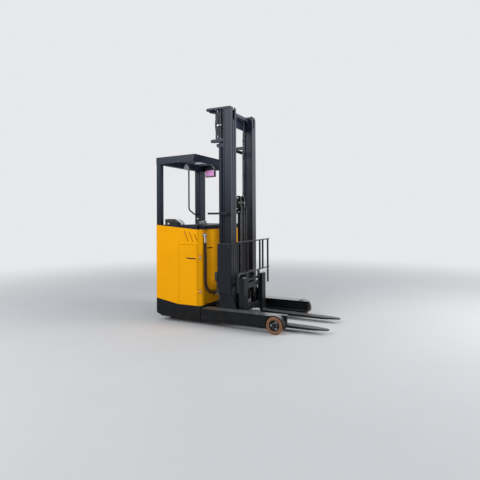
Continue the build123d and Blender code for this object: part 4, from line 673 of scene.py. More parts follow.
class TRUCK_OT_stage(bpy.types.Operator):
    """Set the studio floor, the lamps and the camera"""
    bl_idname = "truck.stage"
    bl_label = "Studio and camera"

    def execute(self, context):
        sizes = context.scene.truck_stage
        scene = context.scene
        scene.view_settings.view_transform = "Standard"
        self.lay_floor(scene, sizes.floor)
        self.light_sky(scene, sizes.sky)
        for name, at, width, power in (("key_lamp", KEY_LAMP_AT, KEY_LAMP_WIDTH, sizes.key_light),
                                       ("fill_lamp", FILL_LAMP_AT, FILL_LAMP_WIDTH, sizes.fill_light)):
            lamp = bpy.data.lights.new(name, "AREA")
            lamp.shape = "DISK"
            lamp.size = width
            lamp.energy = power
            holder = bpy.data.objects.new(name, lamp)
            scene.collection.objects.link(holder)
            holder.location = at
            aim = Vector(LAMP_AIM) - Vector(at)
            holder.rotation_euler = aim.to_track_quat("-Z", "Y").to_euler()
        self.place_camera(scene)
        return {"FINISHED"}

    def lay_floor(self, scene, colour):
        """A pale floor that fades into the background far out."""
        floor = bmesh.new()
        bmesh.ops.create_grid(floor, x_segments=1, y_segments=1, size=30)
        mesh = bpy.data.meshes.new("studio_floor")
        floor.to_mesh(mesh)
        floor.free()
        ground = bpy.data.objects.new("studio_floor", mesh)
        scene.collection.objects.link(ground)
        look = Finish("studio_floor", Roughness=0.85, Specular_IOR_Level=0.2)
        grain = look.noise(1.4, 3.0)
        tint = look.blend(grain, shade(colour, 0.97), shade(colour, 1.03))
        mesh.materials.append(look.feed(Base_Color=tint))
        reach = look.add("VectorMath", {"operation": "LENGTH"}, {0: look.place}, "Value")
        seen = look.add("LightPath", out="Is Camera Ray")
        plain = look.add("Emission", None, {"Color": (*BACKGROUND, 1.0)})
        far = look.tree.nodes.new("ShaderNodeMixShader")
        look.tree.links.new((look.band(reach, *FLOOR_FADE) * seen).socket, far.inputs[0])
        look.tree.links.new(look.shader.outputs[0], far.inputs[1])
        look.tree.links.new(plain.socket, far.inputs[2])
        look.tree.links.new(far.outputs[0], look.tree.nodes["Material Output"].inputs["Surface"])

    def light_sky(self, scene, strength):
        """Even light from all round, in front of a plain background."""
        world = bpy.data.worlds.new("studio")
        scene.world = world
        world.use_nodes = True
        tree = world.node_tree
        light = tree.nodes["Background"]
        light.inputs["Color"].default_value = (*SKY_LIGHT, 1.0)
        light.inputs["Strength"].default_value = strength
        backdrop = tree.nodes.new("ShaderNodeBackground")
        backdrop.inputs["Color"].default_value = (*BACKGROUND, 1.0)
        path = tree.nodes.new("ShaderNodeLightPath")
        mix = tree.nodes.new("ShaderNodeMixShader")
        shown = (Field(tree, path.outputs["Is Camera Ray"]) + Field(tree, path.outputs["Is Glossy Ray"])
                 + Field(tree, path.outputs["Is Transmission Ray"])).held()
        tree.links.new(shown.socket, mix.inputs[0])
        tree.links.new(light.outputs[0], mix.inputs[1])
        tree.links.new(backdrop.outputs[0], mix.inputs[2])
        tree.links.new(mix.outputs[0], tree.nodes["World Output"].inputs["Surface"])

    def place_camera(self, scene):
        """The camera at the place, turn and lens that the reference view has."""
        bearing, pitch, roll = (math.radians(angle) for angle in CAMERA_TURN)
        ahead = Vector((-math.sin(bearing) * math.cos(pitch), math.cos(bearing) * math.cos(pitch),
                        math.sin(pitch)))
        right = Vector((math.cos(bearing), math.sin(bearing), 0))
        above = right.cross(ahead)
        tilt = Matrix.Rotation(roll, 3, -ahead)
        camera = bpy.data.cameras.new("photo_camera")
        camera.lens = CAMERA_LENS
        camera.sensor_width = 36.0
        camera.shift_y = CAMERA_SHIFT
        holder = bpy.data.objects.new("photo_camera", camera)
        scene.collection.objects.link(holder)
        axes = Matrix((tilt @ right, tilt @ above, -ahead)).transposed()
        holder.matrix_world = Matrix.Translation(CAMERA_AT) @ axes.to_4x4()
        scene.camera = holder


class TRUCK_OT_finishes(bpy.types.Operator):
    """Give every solid of the truck its finish"""
    bl_idname = "truck.finishes"
    bl_label = "Paint and finishes"

    def execute(self, context):
        FINISHES.update(make_finishes(context.scene.truck_paint))
        for name, solid in NODES.items():
            finish = finish_of(OWN_FINISH.get(name, SLOT_OF[name]))
            if not solid.material_slots:
                solid.data.materials.append(finish)
            for place in solid.material_slots:
                place.material = finish
        return {"FINISHED"}


class TRUCK_OT_supply_hoses(bpy.types.Operator):
    """Hang the two hoses down the front panel"""
    bl_idname = "truck.supply_hoses"
    bl_label = "Supply hoses"

    def execute(self, context):
        front = PANEL_FRONT + 0.0002
        steel, cream = bmesh.new(), bmesh.new()
        sleeve = [(0.0085, -0.048), (0.0108, -0.048), (0.0116, -0.044), (0.0109, -0.036), (0.0116, -0.028),
                  (0.0109, -0.020), (0.0116, -0.012), (0.0109, -0.004), (0.0116, 0.004), (0.0114, 0.020),
                  (0.0085, 0.021)]
        for route in (OUTER_HOSE, INNER_HOSE):
            x, y, z = route[0]
            box_between(steel, (front, y - 0.0110, z + 0.040), (x + 0.0120, y + 0.0110, z + 0.064), 0.004, 3)
            joined(steel, hexagon(0.0200, 0.010), (x, y, z + 0.030))
            tube(steel, (x, y, z + 0.018), UP, 0.0090, 0.014)
            joined(steel, bolt(0.0100), (x + 0.0118, y, z + 0.052), FORWARD)
            joined(cream, turned(sleeve, 28), (x, y, z))
            tube(steel, route[-1], RIGHT, 0.0114, 0.022, 0.001, 24)
        elbow_z = OUTER_HOSE[0][2] + 0.052
        box_between(steel, (front, -0.5040, elbow_z - 0.024), (front + 0.0050, -0.4320, elbow_z + 0.024))
        fixings(steel, [(front + 0.0050, y, elbow_z) for y in (-0.498, -0.438)], FORWARD, 0.0075)
        x, y, z = OUTER_HOSE[-1]
        box_between(steel, (x - 0.018, y, z - 0.040), (x + 0.018, y + 0.014, z + 0.040), 0.002)
        box_between(steel, (front, y + 0.002, z - 0.040), (x - 0.017, y + 0.012, z), 0.001)
        joined(steel, bolt(0.012), (x, y + 0.0138, z + 0.012), ALONG_Y)
        elbows = keep_mesh(steel, "hose_elbows", "zinc_steel", "chassis")
        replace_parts(elbows, "hose_fittings")
        sleeves = keep_mesh(cream, "hose_sleeves", "cream_ferrule", "chassis")
        for name, points, length in (("outer_hose", OUTER_HOSE, HOSE_LENGTHS[0]),
                                     ("inner_hose", INNER_HOSE, HOSE_LENGTHS[1])):
            hose = line_curve(f"{name}_line", points, HOSE_THICKNESS, "hose_rubber", "chassis")
            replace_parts(hose, name)
        return {"FINISHED"}


class TRUCK_OT_load_wheels(bpy.types.Operator):
    """Fit the two load wheels: cast tyres on dished hubs with nuts and a grease cap"""
    bl_idname = "truck.load_wheels"
    bl_label = "Load wheels"

    def execute(self, context):
        tread = [(0.0660, 0.0), (0.0930, 0.0), (0.0985, 0.0016), (0.1028, 0.0056), (0.1046, 0.0110),
                 (0.1050, 0.0200), (0.1050, 0.0720), (0.1046, 0.0810), (0.1028, 0.0864), (0.0985, 0.0904),
                 (0.0930, 0.0918), (0.0730, 0.0920), (0.0705, 0.0905), (0.0685, 0.0905), (0.0672, 0.0890),
                 (0.0660, 0.0885), (0.0660, 0.0)]
        dish = [(0, 0.0695), (0.0184, 0.0695), (0.0184, 0.0), (0.0655, 0.0), (0.0655, 0.0862),
                (0.0642, 0.0878), (0.0575, 0.0880), (0.0560, 0.0868), (0.0535, 0.0775), (0.0520, 0.0765),
                (0.0335, 0.0765), (0.0325, 0.0775), (0.0315, 0.0810), (0.0280, 0.0855), (0.0225, 0.0890),
                (0.0150, 0.0908), (0.0070, 0.0915), (0, 0.0916)]
        cap_ring = [(0.0322, 0.0764), (0.0350, 0.0764), (0.0350, 0.0782), (0.0335, 0.0788), (0.0322, 0.0782),
                    (0.0322, 0.0764)]
        ribs = 10
        for side, name in ((1, "left"), (-1, "right")):
            body = f"load_wheel_{name}"
            low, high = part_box(f"load_tyre_{name}")
            at = ((low[0] + high[0]) / 2, low[1] if side > 0 else high[1], (low[2] + high[2]) / 2)
            out = (0, side, 0)
            tyre, hub, steel = bmesh.new(), bmesh.new(), bmesh.new()
            joined(tyre, turned(tread, 80), at, out)
            joined(hub, turned(dish, 64), at, out)
            for step in range(ribs):
                joined(hub, soft_box((0.019, 0.004, 0.006), 0.0012), at, out,
                       spun(360 / ribs * (step + 0.5), "Z") @ Matrix.Translation((0.0430, 0, 0.0770)))
            for degrees in (60, 180, 300):
                joined(steel, bolt(0.0125, 0.0035), at, out, round_place(0.045, degrees, 0.0765))
            joined(steel, turned(cap_ring, 48), at, out)
            joined(steel, disc(0.0035, 0.0035, 0.001, 12), at, out, Matrix.Translation((0.0262, 0, 0.0868)))
            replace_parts(keep_mesh(tyre, f"cast_tyre_{name}", "polyurethane", body), f"load_tyre_{name}")
            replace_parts(keep_mesh(hub, f"dished_hub_{name}", "hub_black", body), f"load_hub_{name}")
            keep_mesh(steel, f"wheel_nuts_{name}", "bright_fitting", body)
        return {"FINISHED"}


class TRUCK_OT_lift_chains(bpy.types.Operator):
    """Lace the two lift chains over their sheaves, with their anchors"""
    bl_idname = "truck.lift_chains"
    bl_label = "Lift chains"

    def link(self, wide):
        """One pair of link plates with its pin, the wide pair outside the narrow one."""
        outline = [(-0.0106, -0.0018), (-0.0106, 0.0018), (-0.0084, 0.0043), (-0.0046, 0.0043),
                   (0, 0.0034), (0.0046, 0.0043), (0.0084, 0.0043), (0.0106, 0.0018),
                   (0.0106, -0.0018), (0.0084, -0.0043), (0.0046, -0.0043), (0, -0.0034),
                   (-0.0046, -0.0043), (-0.0084, -0.0043)]
        made = bmesh.new()
        for offset in ((-0.0046, 0.0031) if wide else (-0.0029, 0.0014)):
            joined(made, plate(outline, 0.0015, 0), (0, 0, offset))
        joined(made, disc(0.0021, 0.0094, 0.0004, 8), (CHAIN_PITCH / 2, 0, -0.0047))
        return made

    def run(self, build, x, y, foot, head):
        """A straight run of chain between two heights."""
        count = max(2, round((head - foot) / CHAIN_PITCH))
        pitch = (head - foot) / count
        for step in range(count):
            joined(build, self.link(step % 2), (x, y, foot + pitch * (step + 0.5)), UP,
                   spun(-90, "Y") @ spun(90, "X"))

    def execute(self, context):
        low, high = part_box("lift_chains")
        half = 0.0045
        top = high[2] - 0.0383
        front, rear = high[0] - half, low[0] + half
        centre, radius = (front + rear) / 2, (front - rear) / 2
        side = high[1] - 0.0047
        lug_top = low[2]
        tail_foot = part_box("chain_tails")[0][2]
        links_over = 9

        falls, over, tails, anchors, rods = (bmesh.new() for _ in range(5))
        for y in (side, -side):
            self.run(falls, front, y, lug_top, top)
            self.run(tails, rear, y, tail_foot, top)
            for step in range(links_over):
                joined(over, self.link(step % 2), (centre, y, top), UP,
                       spun(-180 * (step + 0.5) / links_over, "Y") @ Matrix.Translation((radius, 0, 0))
                       @ spun(-90, "Y") @ spun(90, "X"))
            joined(anchors, bolt(0.012, 0.012), (front, y, lug_top - 0.0243), DOWN)
            joined(rods, bolt(0.012, 0.012), (rear, y, tail_foot - 0.0203), DOWN)
        chain = keep_mesh(falls, "chain_falls", "chain_steel", "free_ram")
        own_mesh(chain)
        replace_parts(chain, "lift_chains")
        keep_mesh(over, "chain_over_sheaves", "chain_steel", "free_ram")
        back = keep_mesh(tails, "chain_backs", "chain_steel", None)
        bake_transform(back)
        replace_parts(back, "chain_tails")
        keep_mesh(anchors, "chain_anchor_nuts", "zinc_steel", "fork_lift")
        keep_mesh(rods, "chain_tail_nuts", "zinc_steel", "inner_stage")
        return {"FINISHED"}


class TRUCK_OT_monitor(bpy.types.Operator):
    """Hang the operator's display on its curved arm"""
    bl_idname = "truck.monitor"
    bl_label = "Display"

    def execute(self, context):
        low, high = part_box("monitor")
        top = high[2]
        at = Vector(((low[0] + high[0]) / 2, (low[1] + high[1]) / 2, low[2] + 0.054))
        place = Matrix.Translation(at) @ spun(76, "Z")

        case, glass, foot = bmesh.new(), bmesh.new(), bmesh.new()
        for size, shift, soft, segments in (((0.018, 0.188, 0.106), (0.003, 0, 0), 0.005, 3),
                                            ((0.008, 0.120, 0.060), (0.0090, 0, 0), 0.003, 2),
                                            ((0.006, 0.188, 0.010), (-0.0085, 0, 0.048), 0.0022, 2),
                                            ((0.006, 0.188, 0.014), (-0.0085, 0, -0.046), 0.0022, 2),
                                            ((0.006, 0.010, 0.106), (-0.0085, 0.089, 0), 0.0022, 2),
                                            ((0.006, 0.022, 0.106), (-0.0085, -0.083, 0), 0.0022, 2)):
            joined(case, soft_box(size, soft, segments), before=place @ Matrix.Translation(shift))
        for z in (0.030, 0.012, -0.006, -0.024):
            joined(case, disc(0.0036, 0.0022, 0.0006, 14),
                   before=place @ Matrix.Translation((-0.0112, -0.083, z)) @ spun(-90, "Y"))
        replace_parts(keep_mesh(case, "display_case", "black_plastic", "chassis"), "monitor")
        joined(glass, soft_box((0.002, 0.158, 0.084), 0.0006),
               before=place @ Matrix.Translation((-0.0068, 0.006, 0.001)))
        keep_mesh(glass, "display_screen", "lit_screen", "chassis")

        behind = place @ Vector((0.020, 0.0, 0.020))
        line_curve("display_arm", [(*behind,), (behind.x + 0.012, behind.y + 0.030, behind.z + 0.010),
                                   (behind.x + 0.020, behind.y + 0.034, behind.z + 0.075),
                                   (at.x, at.y + 0.010, top - 0.045), (at.x, at.y, top - 0.004)],
                   0.016, "arm_grey", "chassis")
        joined(foot, disc(0.024, 0.005, 0.0015, 28), (at.x, at.y, top - 0.0002), DOWN)
        joined(foot, soft_box((0.030, 0.044, 0.036), 0.004), behind)
        fixings(foot, [(at.x + shift, at.y, top - 0.0052) for shift in (-0.016, 0.016)], DOWN, 0.0035, screw)
        keep_mesh(foot, "display_mount", "arm_grey", "chassis")
        return {"FINISHED"}


class TRUCK_OT_mast_hoses(bpy.types.Operator):
    """Lead the two mast hoses over their sheaves to the fork carriage"""
    bl_idname = "truck.mast_hoses"
    bl_label = "Mast hoses"

    def execute(self, context):
        radius, foot, clamp = 0.0058, 0.200, 1.300
        front, rear = FREE_CYLINDER_X + HOSE_BEND, FREE_CYLINDER_X - HOSE_BEND
        falls, over, backs, ends, clamps = (bmesh.new() for _ in range(5))
        for y in (HOSE_SHEAVE_Y, -HOSE_SHEAVE_Y):
            tube(falls, (front, y, foot), UP, radius, HOSE_SHEAVE_Z - foot, 0.0001, 16)
            tube(backs, (rear, y, clamp), UP, radius, HOSE_SHEAVE_Z - clamp, 0.0001, 16)
            ring = bmesh.new()
            bmesh.ops.create_circle(ring, cap_ends=False, segments=16, radius=radius,
                                    matrix=Matrix.Translation((front, y, HOSE_SHEAVE_Z)))
            bmesh.ops.spin(ring, geom=ring.edges[:], cent=(FREE_CYLINDER_X, y, HOSE_SHEAVE_Z),
                           axis=(0, -1, 0), dvec=(0, 0, 0), angle=math.pi, steps=24, use_merge=False)
            bmesh.ops.contextual_create(ring, geom=[edge for edge in ring.edges if edge.is_boundary])
            bmesh.ops.recalc_face_normals(ring, faces=ring.faces)
            joined(over, ring)
            tube(ends, (front, y, foot + 0.016), DOWN, 0.0082, 0.036)
            union(ends, (front, y, foot - 0.016), DOWN, 0.016, 0.020)
            joined(ends, soft_box((0.030, 0.020, 0.020), 0.003), (front + 0.006, y, foot - 0.044))
            tube(clamps, (rear, y, clamp - 0.006), UP, 0.0076, 0.030)
            box_between(clamps, (rear - 0.010, y - 0.014, clamp - 0.030),
                        (rear + 0.010, y + 0.014, clamp - 0.006), 0.003)
        box_between(clamps, (rear + 0.004, -0.088, clamp - 0.028), (-0.187, 0.088, clamp - 0.010), 0.002)
        hose = keep_mesh(falls, "mast_hose_falls", "sleeve_rubber", "free_ram")
        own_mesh(hose)
        keep_mesh(over, "mast_hose_bends", "sleeve_rubber", "free_ram")
        back = keep_mesh(backs, "mast_hose_backs", "sleeve_rubber", None)
        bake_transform(back)
        keep_mesh(ends, "mast_hose_ends", "bright_fitting", "fork_lift")
        keep_mesh(clamps, "mast_hose_clamp", "zinc_steel", "inner_stage")
        pipe_x = rear + 0.005
        for side, name in ((1, "left"), (-1, "right")):
            outer, inner = side * HOSE_SHEAVE_Y, side * 0.030
            route = [(rear, outer, 1.270), (rear, outer, 1.210), (pipe_x, side * 0.050, 1.140),
                     (pipe_x, inner, 1.040), (pipe_x, inner, 0.420), (pipe_x, inner, 0.330)]
            line_curve(f"ram_pipe_{name}", route, 0.009, "mast_black", "inner_stage")
        return {"FINISHED"}


class TRUCK_OT_mast_pipes(bpy.types.Operator):
    """Fit the bright pipe by the lift rod, the bent pipe on the far column and their clips"""
    bl_idname = "truck.mast_pipes"
    bl_label = "Mast pipes"

    def execute(self, context):
        self.fit_rod_pipe()
        self.fit_column_pipe()
        stops = bmesh.new()
        for y in (0.262, -0.262):
            box_between(stops, (-0.104, y - 0.010, 2.7902), (-0.084, y + 0.010, 2.812), 0.003)
        keep_mesh(stops, "stage_bumpers", "dark_urethane", "inner_stage")
        return {"FINISHED"}

    def fit_rod_pipe(self):
        """The bright pipe below the top plate with its unions and hoses, and the upright plate by it."""
        x, y = -0.289, -0.370
        steel, pipe, guard = bmesh.new(), bmesh.new(), bmesh.new()
        tube(pipe, (x, y, 2.590), UP, 0.0058, TOP_PLATE_UNDERSIDE - 2.598, 0.0003)
        keep_mesh(pipe, "rod_pipe_run", "polished_rod", "middle_stage")
        union(steel, (x, y, TOP_PLATE_UNDERSIDE - 0.014), DOWN, 0.017, 0.030)
        joined(steel, bolt(0.016), (x - 0.026, y + 0.004, TOP_PLATE_UNDERSIDE), DOWN)
        joined(steel, soft_box((0.020, 0.018, 0.026), 0.003), (x, y, 2.580))
        union(steel, (x + 0.006, y - 0.012, 2.580), FORWARD, 0.016, 0.024)
        tube(steel, (x + 0.028, y - 0.016, 2.580), FORWARD, 0.0042, 0.024)
        union(steel, (x + 0.046, y - 0.016, 2.580), FORWARD, 0.015, 0.018)
        union(steel, (x, y, 2.445), DOWN, 0.017, 0.034)
        keep_mesh(steel, "rod_pipe", "bright_fitting", "middle_stage")
        line_curve("rod_hose", [(x, y, 2.574), (x, y, 2.550), (x - 0.016, y + 0.006, 2.522),
                                (x - 0.018, y + 0.008, 2.490), (x - 0.002, y, 2.462), (x, y, 2.440)],
                   0.012, "sleeve_rubber", "middle_stage")
        line_curve("rod_hose_loop", [(x - 0.030, y + 0.010, 2.745), (x - 0.030, y + 0.010, 2.700),
                                     (x - 0.044, y + 0.012, 2.640), (x - 0.046, y + 0.012, 2.560),
                                     (x - 0.030, y + 0.010, 2.480), (x - 0.030, y + 0.010, 2.430)],
                   0.011, "sleeve_rubber", "middle_stage")
        outline = [(-0.366, 2.7880), (-0.252, 2.7880), (-0.252, 2.4200), (-0.340, 2.4200), (-0.360, 2.4600)]
        side_plate(guard, outline, -0.306, 0.003)
        keep_mesh(guard, "rod_guard", "mast_black", "middle_stage")

    def fit_column_pipe(self):
        """The pale bent pipe on the left column, held by clips."""
        line_curve("column_pipe", [(-0.205, 0.112, 2.744), (-0.205, 0.160, 2.748), (-0.205, 0.222, 2.738),
                                   (-0.205, 0.238, 2.700), (-0.206, 0.238, 2.650), (-0.222, 0.246, 2.596),
                                   (-0.228, 0.252, 2.540), (-0.228, 0.252, 2.300), (-0.228, 0.252, 2.000),
                                   (-0.228, 0.252, 1.720), (-0.228, 0.256, 1.660)],
                   0.014, "pale_pipe", "middle_stage")
        clips = bmesh.new()
        for z in (2.470, 2.230, 1.980, 1.730):
            box_between(clips, (-0.236, 0.243, z - 0.008), (-0.213, 0.262, z + 0.008), 0.002)
            box_between(clips, (-0.217, 0.258, z - 0.008), (-0.2075, 0.318, z + 0.008), 0.002)
            joined(clips, bolt(0.010), (-0.2172, 0.300, z), BACK)
        for y in (0.124, 0.190):
            box_between(clips, (-0.2118, y - 0.008, 2.733), (-0.196, y + 0.008, 2.759), 0.002)
        keep_mesh(clips, "column_pipe_clips", "mast_black", "middle_stage")


class TRUCK_OT_mast_fixings(bpy.types.Operator):
    """Bolt the mast together and fit its cylinder glands, side cover and junction box"""
    bl_idname = "truck.mast_fixings"
    bl_label = "Mast fixings"

    def execute(self, context):
        heads, tie_bolts, outer, glands = (bmesh.new() for _ in range(4))
        x, bolt_circle, flat = LIFT_CYLINDER_X, 0.046, 0.7
        for y in (-LIFT_CYLINDER_Y, LIFT_CYLINDER_Y):
            joined(heads, bolt(0.030), (x, y, 2.7928))
            fixings(heads, [(bolt_x, y, TOP_PLATE_UNDERSIDE) for bolt_x in (-0.330, -0.400)], DOWN, 0.012)
            tube(glands, (x, y, CYLINDER_TOP), UP, 0.029, 0.010, 0.0015, 32)
            for angle in map(math.radians, (45, 135, 225, 315)):
                joined(outer, bolt(0.011), (x + bolt_circle * math.cos(angle),
                                            y + bolt_circle * math.sin(angle) * flat, CYLINDER_TOP))
            tube(outer, (x, y, 2.338), DOWN, 0.0405, 0.016, 0.003, 32)
            tube(outer, (x, y, 0.980), DOWN, 0.0360, 0.010, 0.002, 32)
        for z in (2.660, 2.750, 0.185, 0.225):
            fixings(tie_bolts, [(-0.2372, y, z) for y in (0.312, -0.312)], BACK, 0.014)
        keep_mesh(heads, "top_plate_bolts", "dark_nut", "middle_stage")
        keep_mesh(tie_bolts, "tie_bolts", "dark_nut", "middle_stage")
        keep_mesh(outer, "bracket_bolts", "mast_black", "mast")
        keep_mesh(glands, "cylinder_glands", "dark_nut", "mast")
        self.fit_side_cover()
        self.fit_junction_box()
        return {"FINISHED"}

    def fit_side_cover(self):
        """The screws and the top lip of the cover on the mast's right side."""
        cover = bmesh.new()
        (rear, right, foot), (front, left, top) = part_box("mast_side_cover")
        fixings(cover, [(x, right + 0.0002, z) for z in (foot + 0.040, (foot + top) / 2, top - 0.040)
                        for x in (rear + 0.022, front - 0.022)], RIGHT, 0.0055, screw)
        box_between(cover, (rear + 0.006, right + 0.004, top - 0.0002), (front - 0.006, left, top + 0.0028))
        keep_mesh(cover, "cover_screws", "dark_nut", "mast")

    def fit_junction_box(self):
        """The lid and the gland of the junction box, and its cable down to the carriage."""
        lid = bmesh.new()
        (rear, right, foot), (front, left, top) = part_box("junction_box")
        x, y = (rear + front) / 2, (right + left) / 2
        box_between(lid, (rear + 0.004, right - 0.0030, foot + 0.006),
                    (front - 0.003, right + 0.001, top - 0.006), 0.002)
        fixings(lid, [(x, right - 0.0030, z) for z in (foot + 0.014, top - 0.014)], RIGHT, 0.0030, screw)
        tube(lid, (x, y, foot), DOWN, 0.009, 0.022, 0.002)
        joined(lid, hexagon(0.020, 0.008), (x, y, foot - 0.001), DOWN)
        keep_mesh(lid, "junction_box_lid", "black_plastic", "mast")
        route = [(x, y, foot - 0.018), (x, y, foot - 0.080), (-0.276, -0.414, 0.430), (-0.264, -0.444, 0.412),
                 (-0.236, -0.446, 0.385), (-0.226, -0.446, 0.350), (-0.242, -0.446, 0.315),
                 (-0.276, -0.430, 0.292), (-0.290, -0.410, 0.262), (-0.290, -0.404, 0.214)]
        line_curve("junction_cable", route, 0.011, "sleeve_rubber", "mast")


class TRUCK_OT_sheaves(bpy.types.Operator):
    """Turn the chain and hose sheaves with their axle ends and keeper pins"""
    bl_idname = "truck.sheaves"
    bl_label = "Sheaves"

    def execute(self, context):
        hose_half = [(0.0103, -0.0100), (0.0200, -0.0100), (0.0215, -0.0065), (0.0380, -0.0045),
                     (0.0415, -0.0090), (0.0530, -0.0100), (0.0545, -0.0085), (0.0500, -0.0060),
                     (0.0475, -0.0035), (0.0470, 0)]
        chain_half = [(0.0103, -0.0090), (0.0180, -0.0090), (0.0195, -0.0060), (0.0255, -0.0060),
                      (0.0275, -0.0090), (0.0350, -0.0090), (0.0360, -0.0080), (0.0355, -0.0065),
                      (0.0293, -0.0054), (0.0290, 0)]
        wheels, steel = bmesh.new(), bmesh.new()
        x, keeper_z, keeper_reach = FREE_CYLINDER_X, CHAIN_SHEAVE_Z + 0.0085, 0.0640
        for half, y, z in ((hose_half, HOSE_SHEAVE_Y, HOSE_SHEAVE_Z), (chain_half, 0.055, CHAIN_SHEAVE_Z)):
            profile = half + [(radius, -height) for radius, height in reversed(half[:-1])] + [half[0]]
            for side in (1, -1):
                joined(wheels, turned(profile, 48), (x, side * y, z), (0, side, 0))
        for side in (1, -1):
            out = (0, side, 0)
            tube(steel, (x, side * 0.0775, CHAIN_SHEAVE_Z), out, 0.0098, 0.0040, 0.0012)
            joined(steel, soft_box((0.026, 0.0030, 0.010), 0.0008), (x, side * 0.0796, keeper_z))
            fixings(steel, [(x + shift, side * 0.0812, keeper_z) for shift in (-0.0095, 0.0095)], out, 0.0065)
            joined(steel, bolt(0.0150), (x, side * 0.1016, HOSE_SHEAVE_Z), out)
            fixings(steel, [(x + 0.0262, side * y, 1.577) for y in (0.030, 0.094)], FORWARD, 0.0110)
            for angle in map(math.radians, (-38, 128)):
                at = (x + keeper_reach * math.cos(angle), side * 0.0640,
                      HOSE_SHEAVE_Z + keeper_reach * math.sin(angle))
                tube(steel, at, out, 0.0035, 0.028)
        for side in (1, -1):
            right, left = side * 0.0935 - 0.0015, side * 0.0935 + 0.0015
            box_between(steel, (x + 0.010, right, HOSE_SHEAVE_Z - 0.043),
                        (x + 0.0570, left, HOSE_SHEAVE_Z - 0.034), 0.001)
            box_between(steel, (x - 0.0455, right, HOSE_SHEAVE_Z + 0.008),
                        (x - 0.0340, left, HOSE_SHEAVE_Z + 0.056), 0.001)
        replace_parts(keep_mesh(wheels, "turned_sheaves", "hub_black", "free_ram"), "sheaves")
        keep_mesh(steel, "sheave_pins", "bright_fitting", "free_ram")
        return {"FINISHED"}


class TRUCK_OT_hip_pad(bpy.types.Operator):
    """Upholster the hip pad with its piped seams and a pale curved strip at its end, a painted highlight on
    its rounded edge
    """
    bl_idname = "truck.hip_pad"
    bl_label = "Hip pad"

    def outline(self, inset):
        """The pad's side outline, drawn in from its box by an inset."""
        (rear, _, foot), (over, _, top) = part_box("backrest_pad")
        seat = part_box("deck_cover")[1][2]
        front = over - 0.053
        end = over - inset
        return [(rear + inset, foot + inset), (front - inset, foot + inset),
                (front - inset, seat + 0.003 + inset), (end - 0.006, seat + 0.003 + inset),
                (end - 0.014, seat + 0.012 + inset), (end - 0.036, top - 0.040 - inset * 0.6),
                (end - 0.074, top - 0.017 - inset), (end - 0.110, top - 0.004 - inset),
                (end - 0.140, top - inset), (rear + inset, top - inset)]

    def execute(self, context):
        (_, right, _), (over, left, top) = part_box("backrest_pad")
        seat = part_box("deck_cover")[1][2]
        build = bmesh.new()
        side_plate(build, self.outline(0.0045), right + 0.008, left - right - 0.016, 0.006)
        pad = keep_mesh(build, "hip_pad", "pad_vinyl", None, 60.0)
        smooth = pad.modifiers.new("remesh", "REMESH")
        smooth.mode = "VOXEL"
        smooth.voxel_size = 0.005
        soften(pad)
        swell(pad, 4.0, 0.006)
        finer = pad.modifiers.new("finer", "SUBSURF")
        finer.levels = finer.render_levels = 1
        soften(pad)
        pad.data.shade_smooth()
        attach(pad, "chassis")
        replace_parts(pad, "backrest_pad")

        for index, y in enumerate((right + 0.0065, left - 0.0065)):
            line_curve(f"pad_piping_{index + 1}", [(x, y, z) for x, z in self.outline(0.004)[3:]],
                       0.006, "black_plastic", "chassis")
        trim, clip = bmesh.new(), bmesh.new()
        # Painted highlight: a pale strip along the pad's curved end stands in for the light on its rounded
        # edge.
        curve = [(over - 0.001, seat + 0.002), (over - 0.006, seat + 0.020), (over - 0.026, top - 0.036),
                 (over - 0.060, top - 0.013), (over - 0.096, top - 0.001)]
        inner = [(x - 0.011, z - 0.013) for x, z in curve[1:]]
        side_plate(trim, curve + inner[::-1] + [(over - 0.020, seat + 0.002)],
                   right + 0.003, left - right - 0.006, 0.002)
        keep_mesh(trim, "pad_highlight_strip", "pale_trim", "chassis", 50.0)
        box_between(clip, (-0.972, right - 0.012, seat + 0.0005),
                    (-0.944, right - 0.002, seat + 0.024), 0.002)
        keep_mesh(clip, "pad_catch", "pale_trim", "chassis")
        return {"FINISHED"}


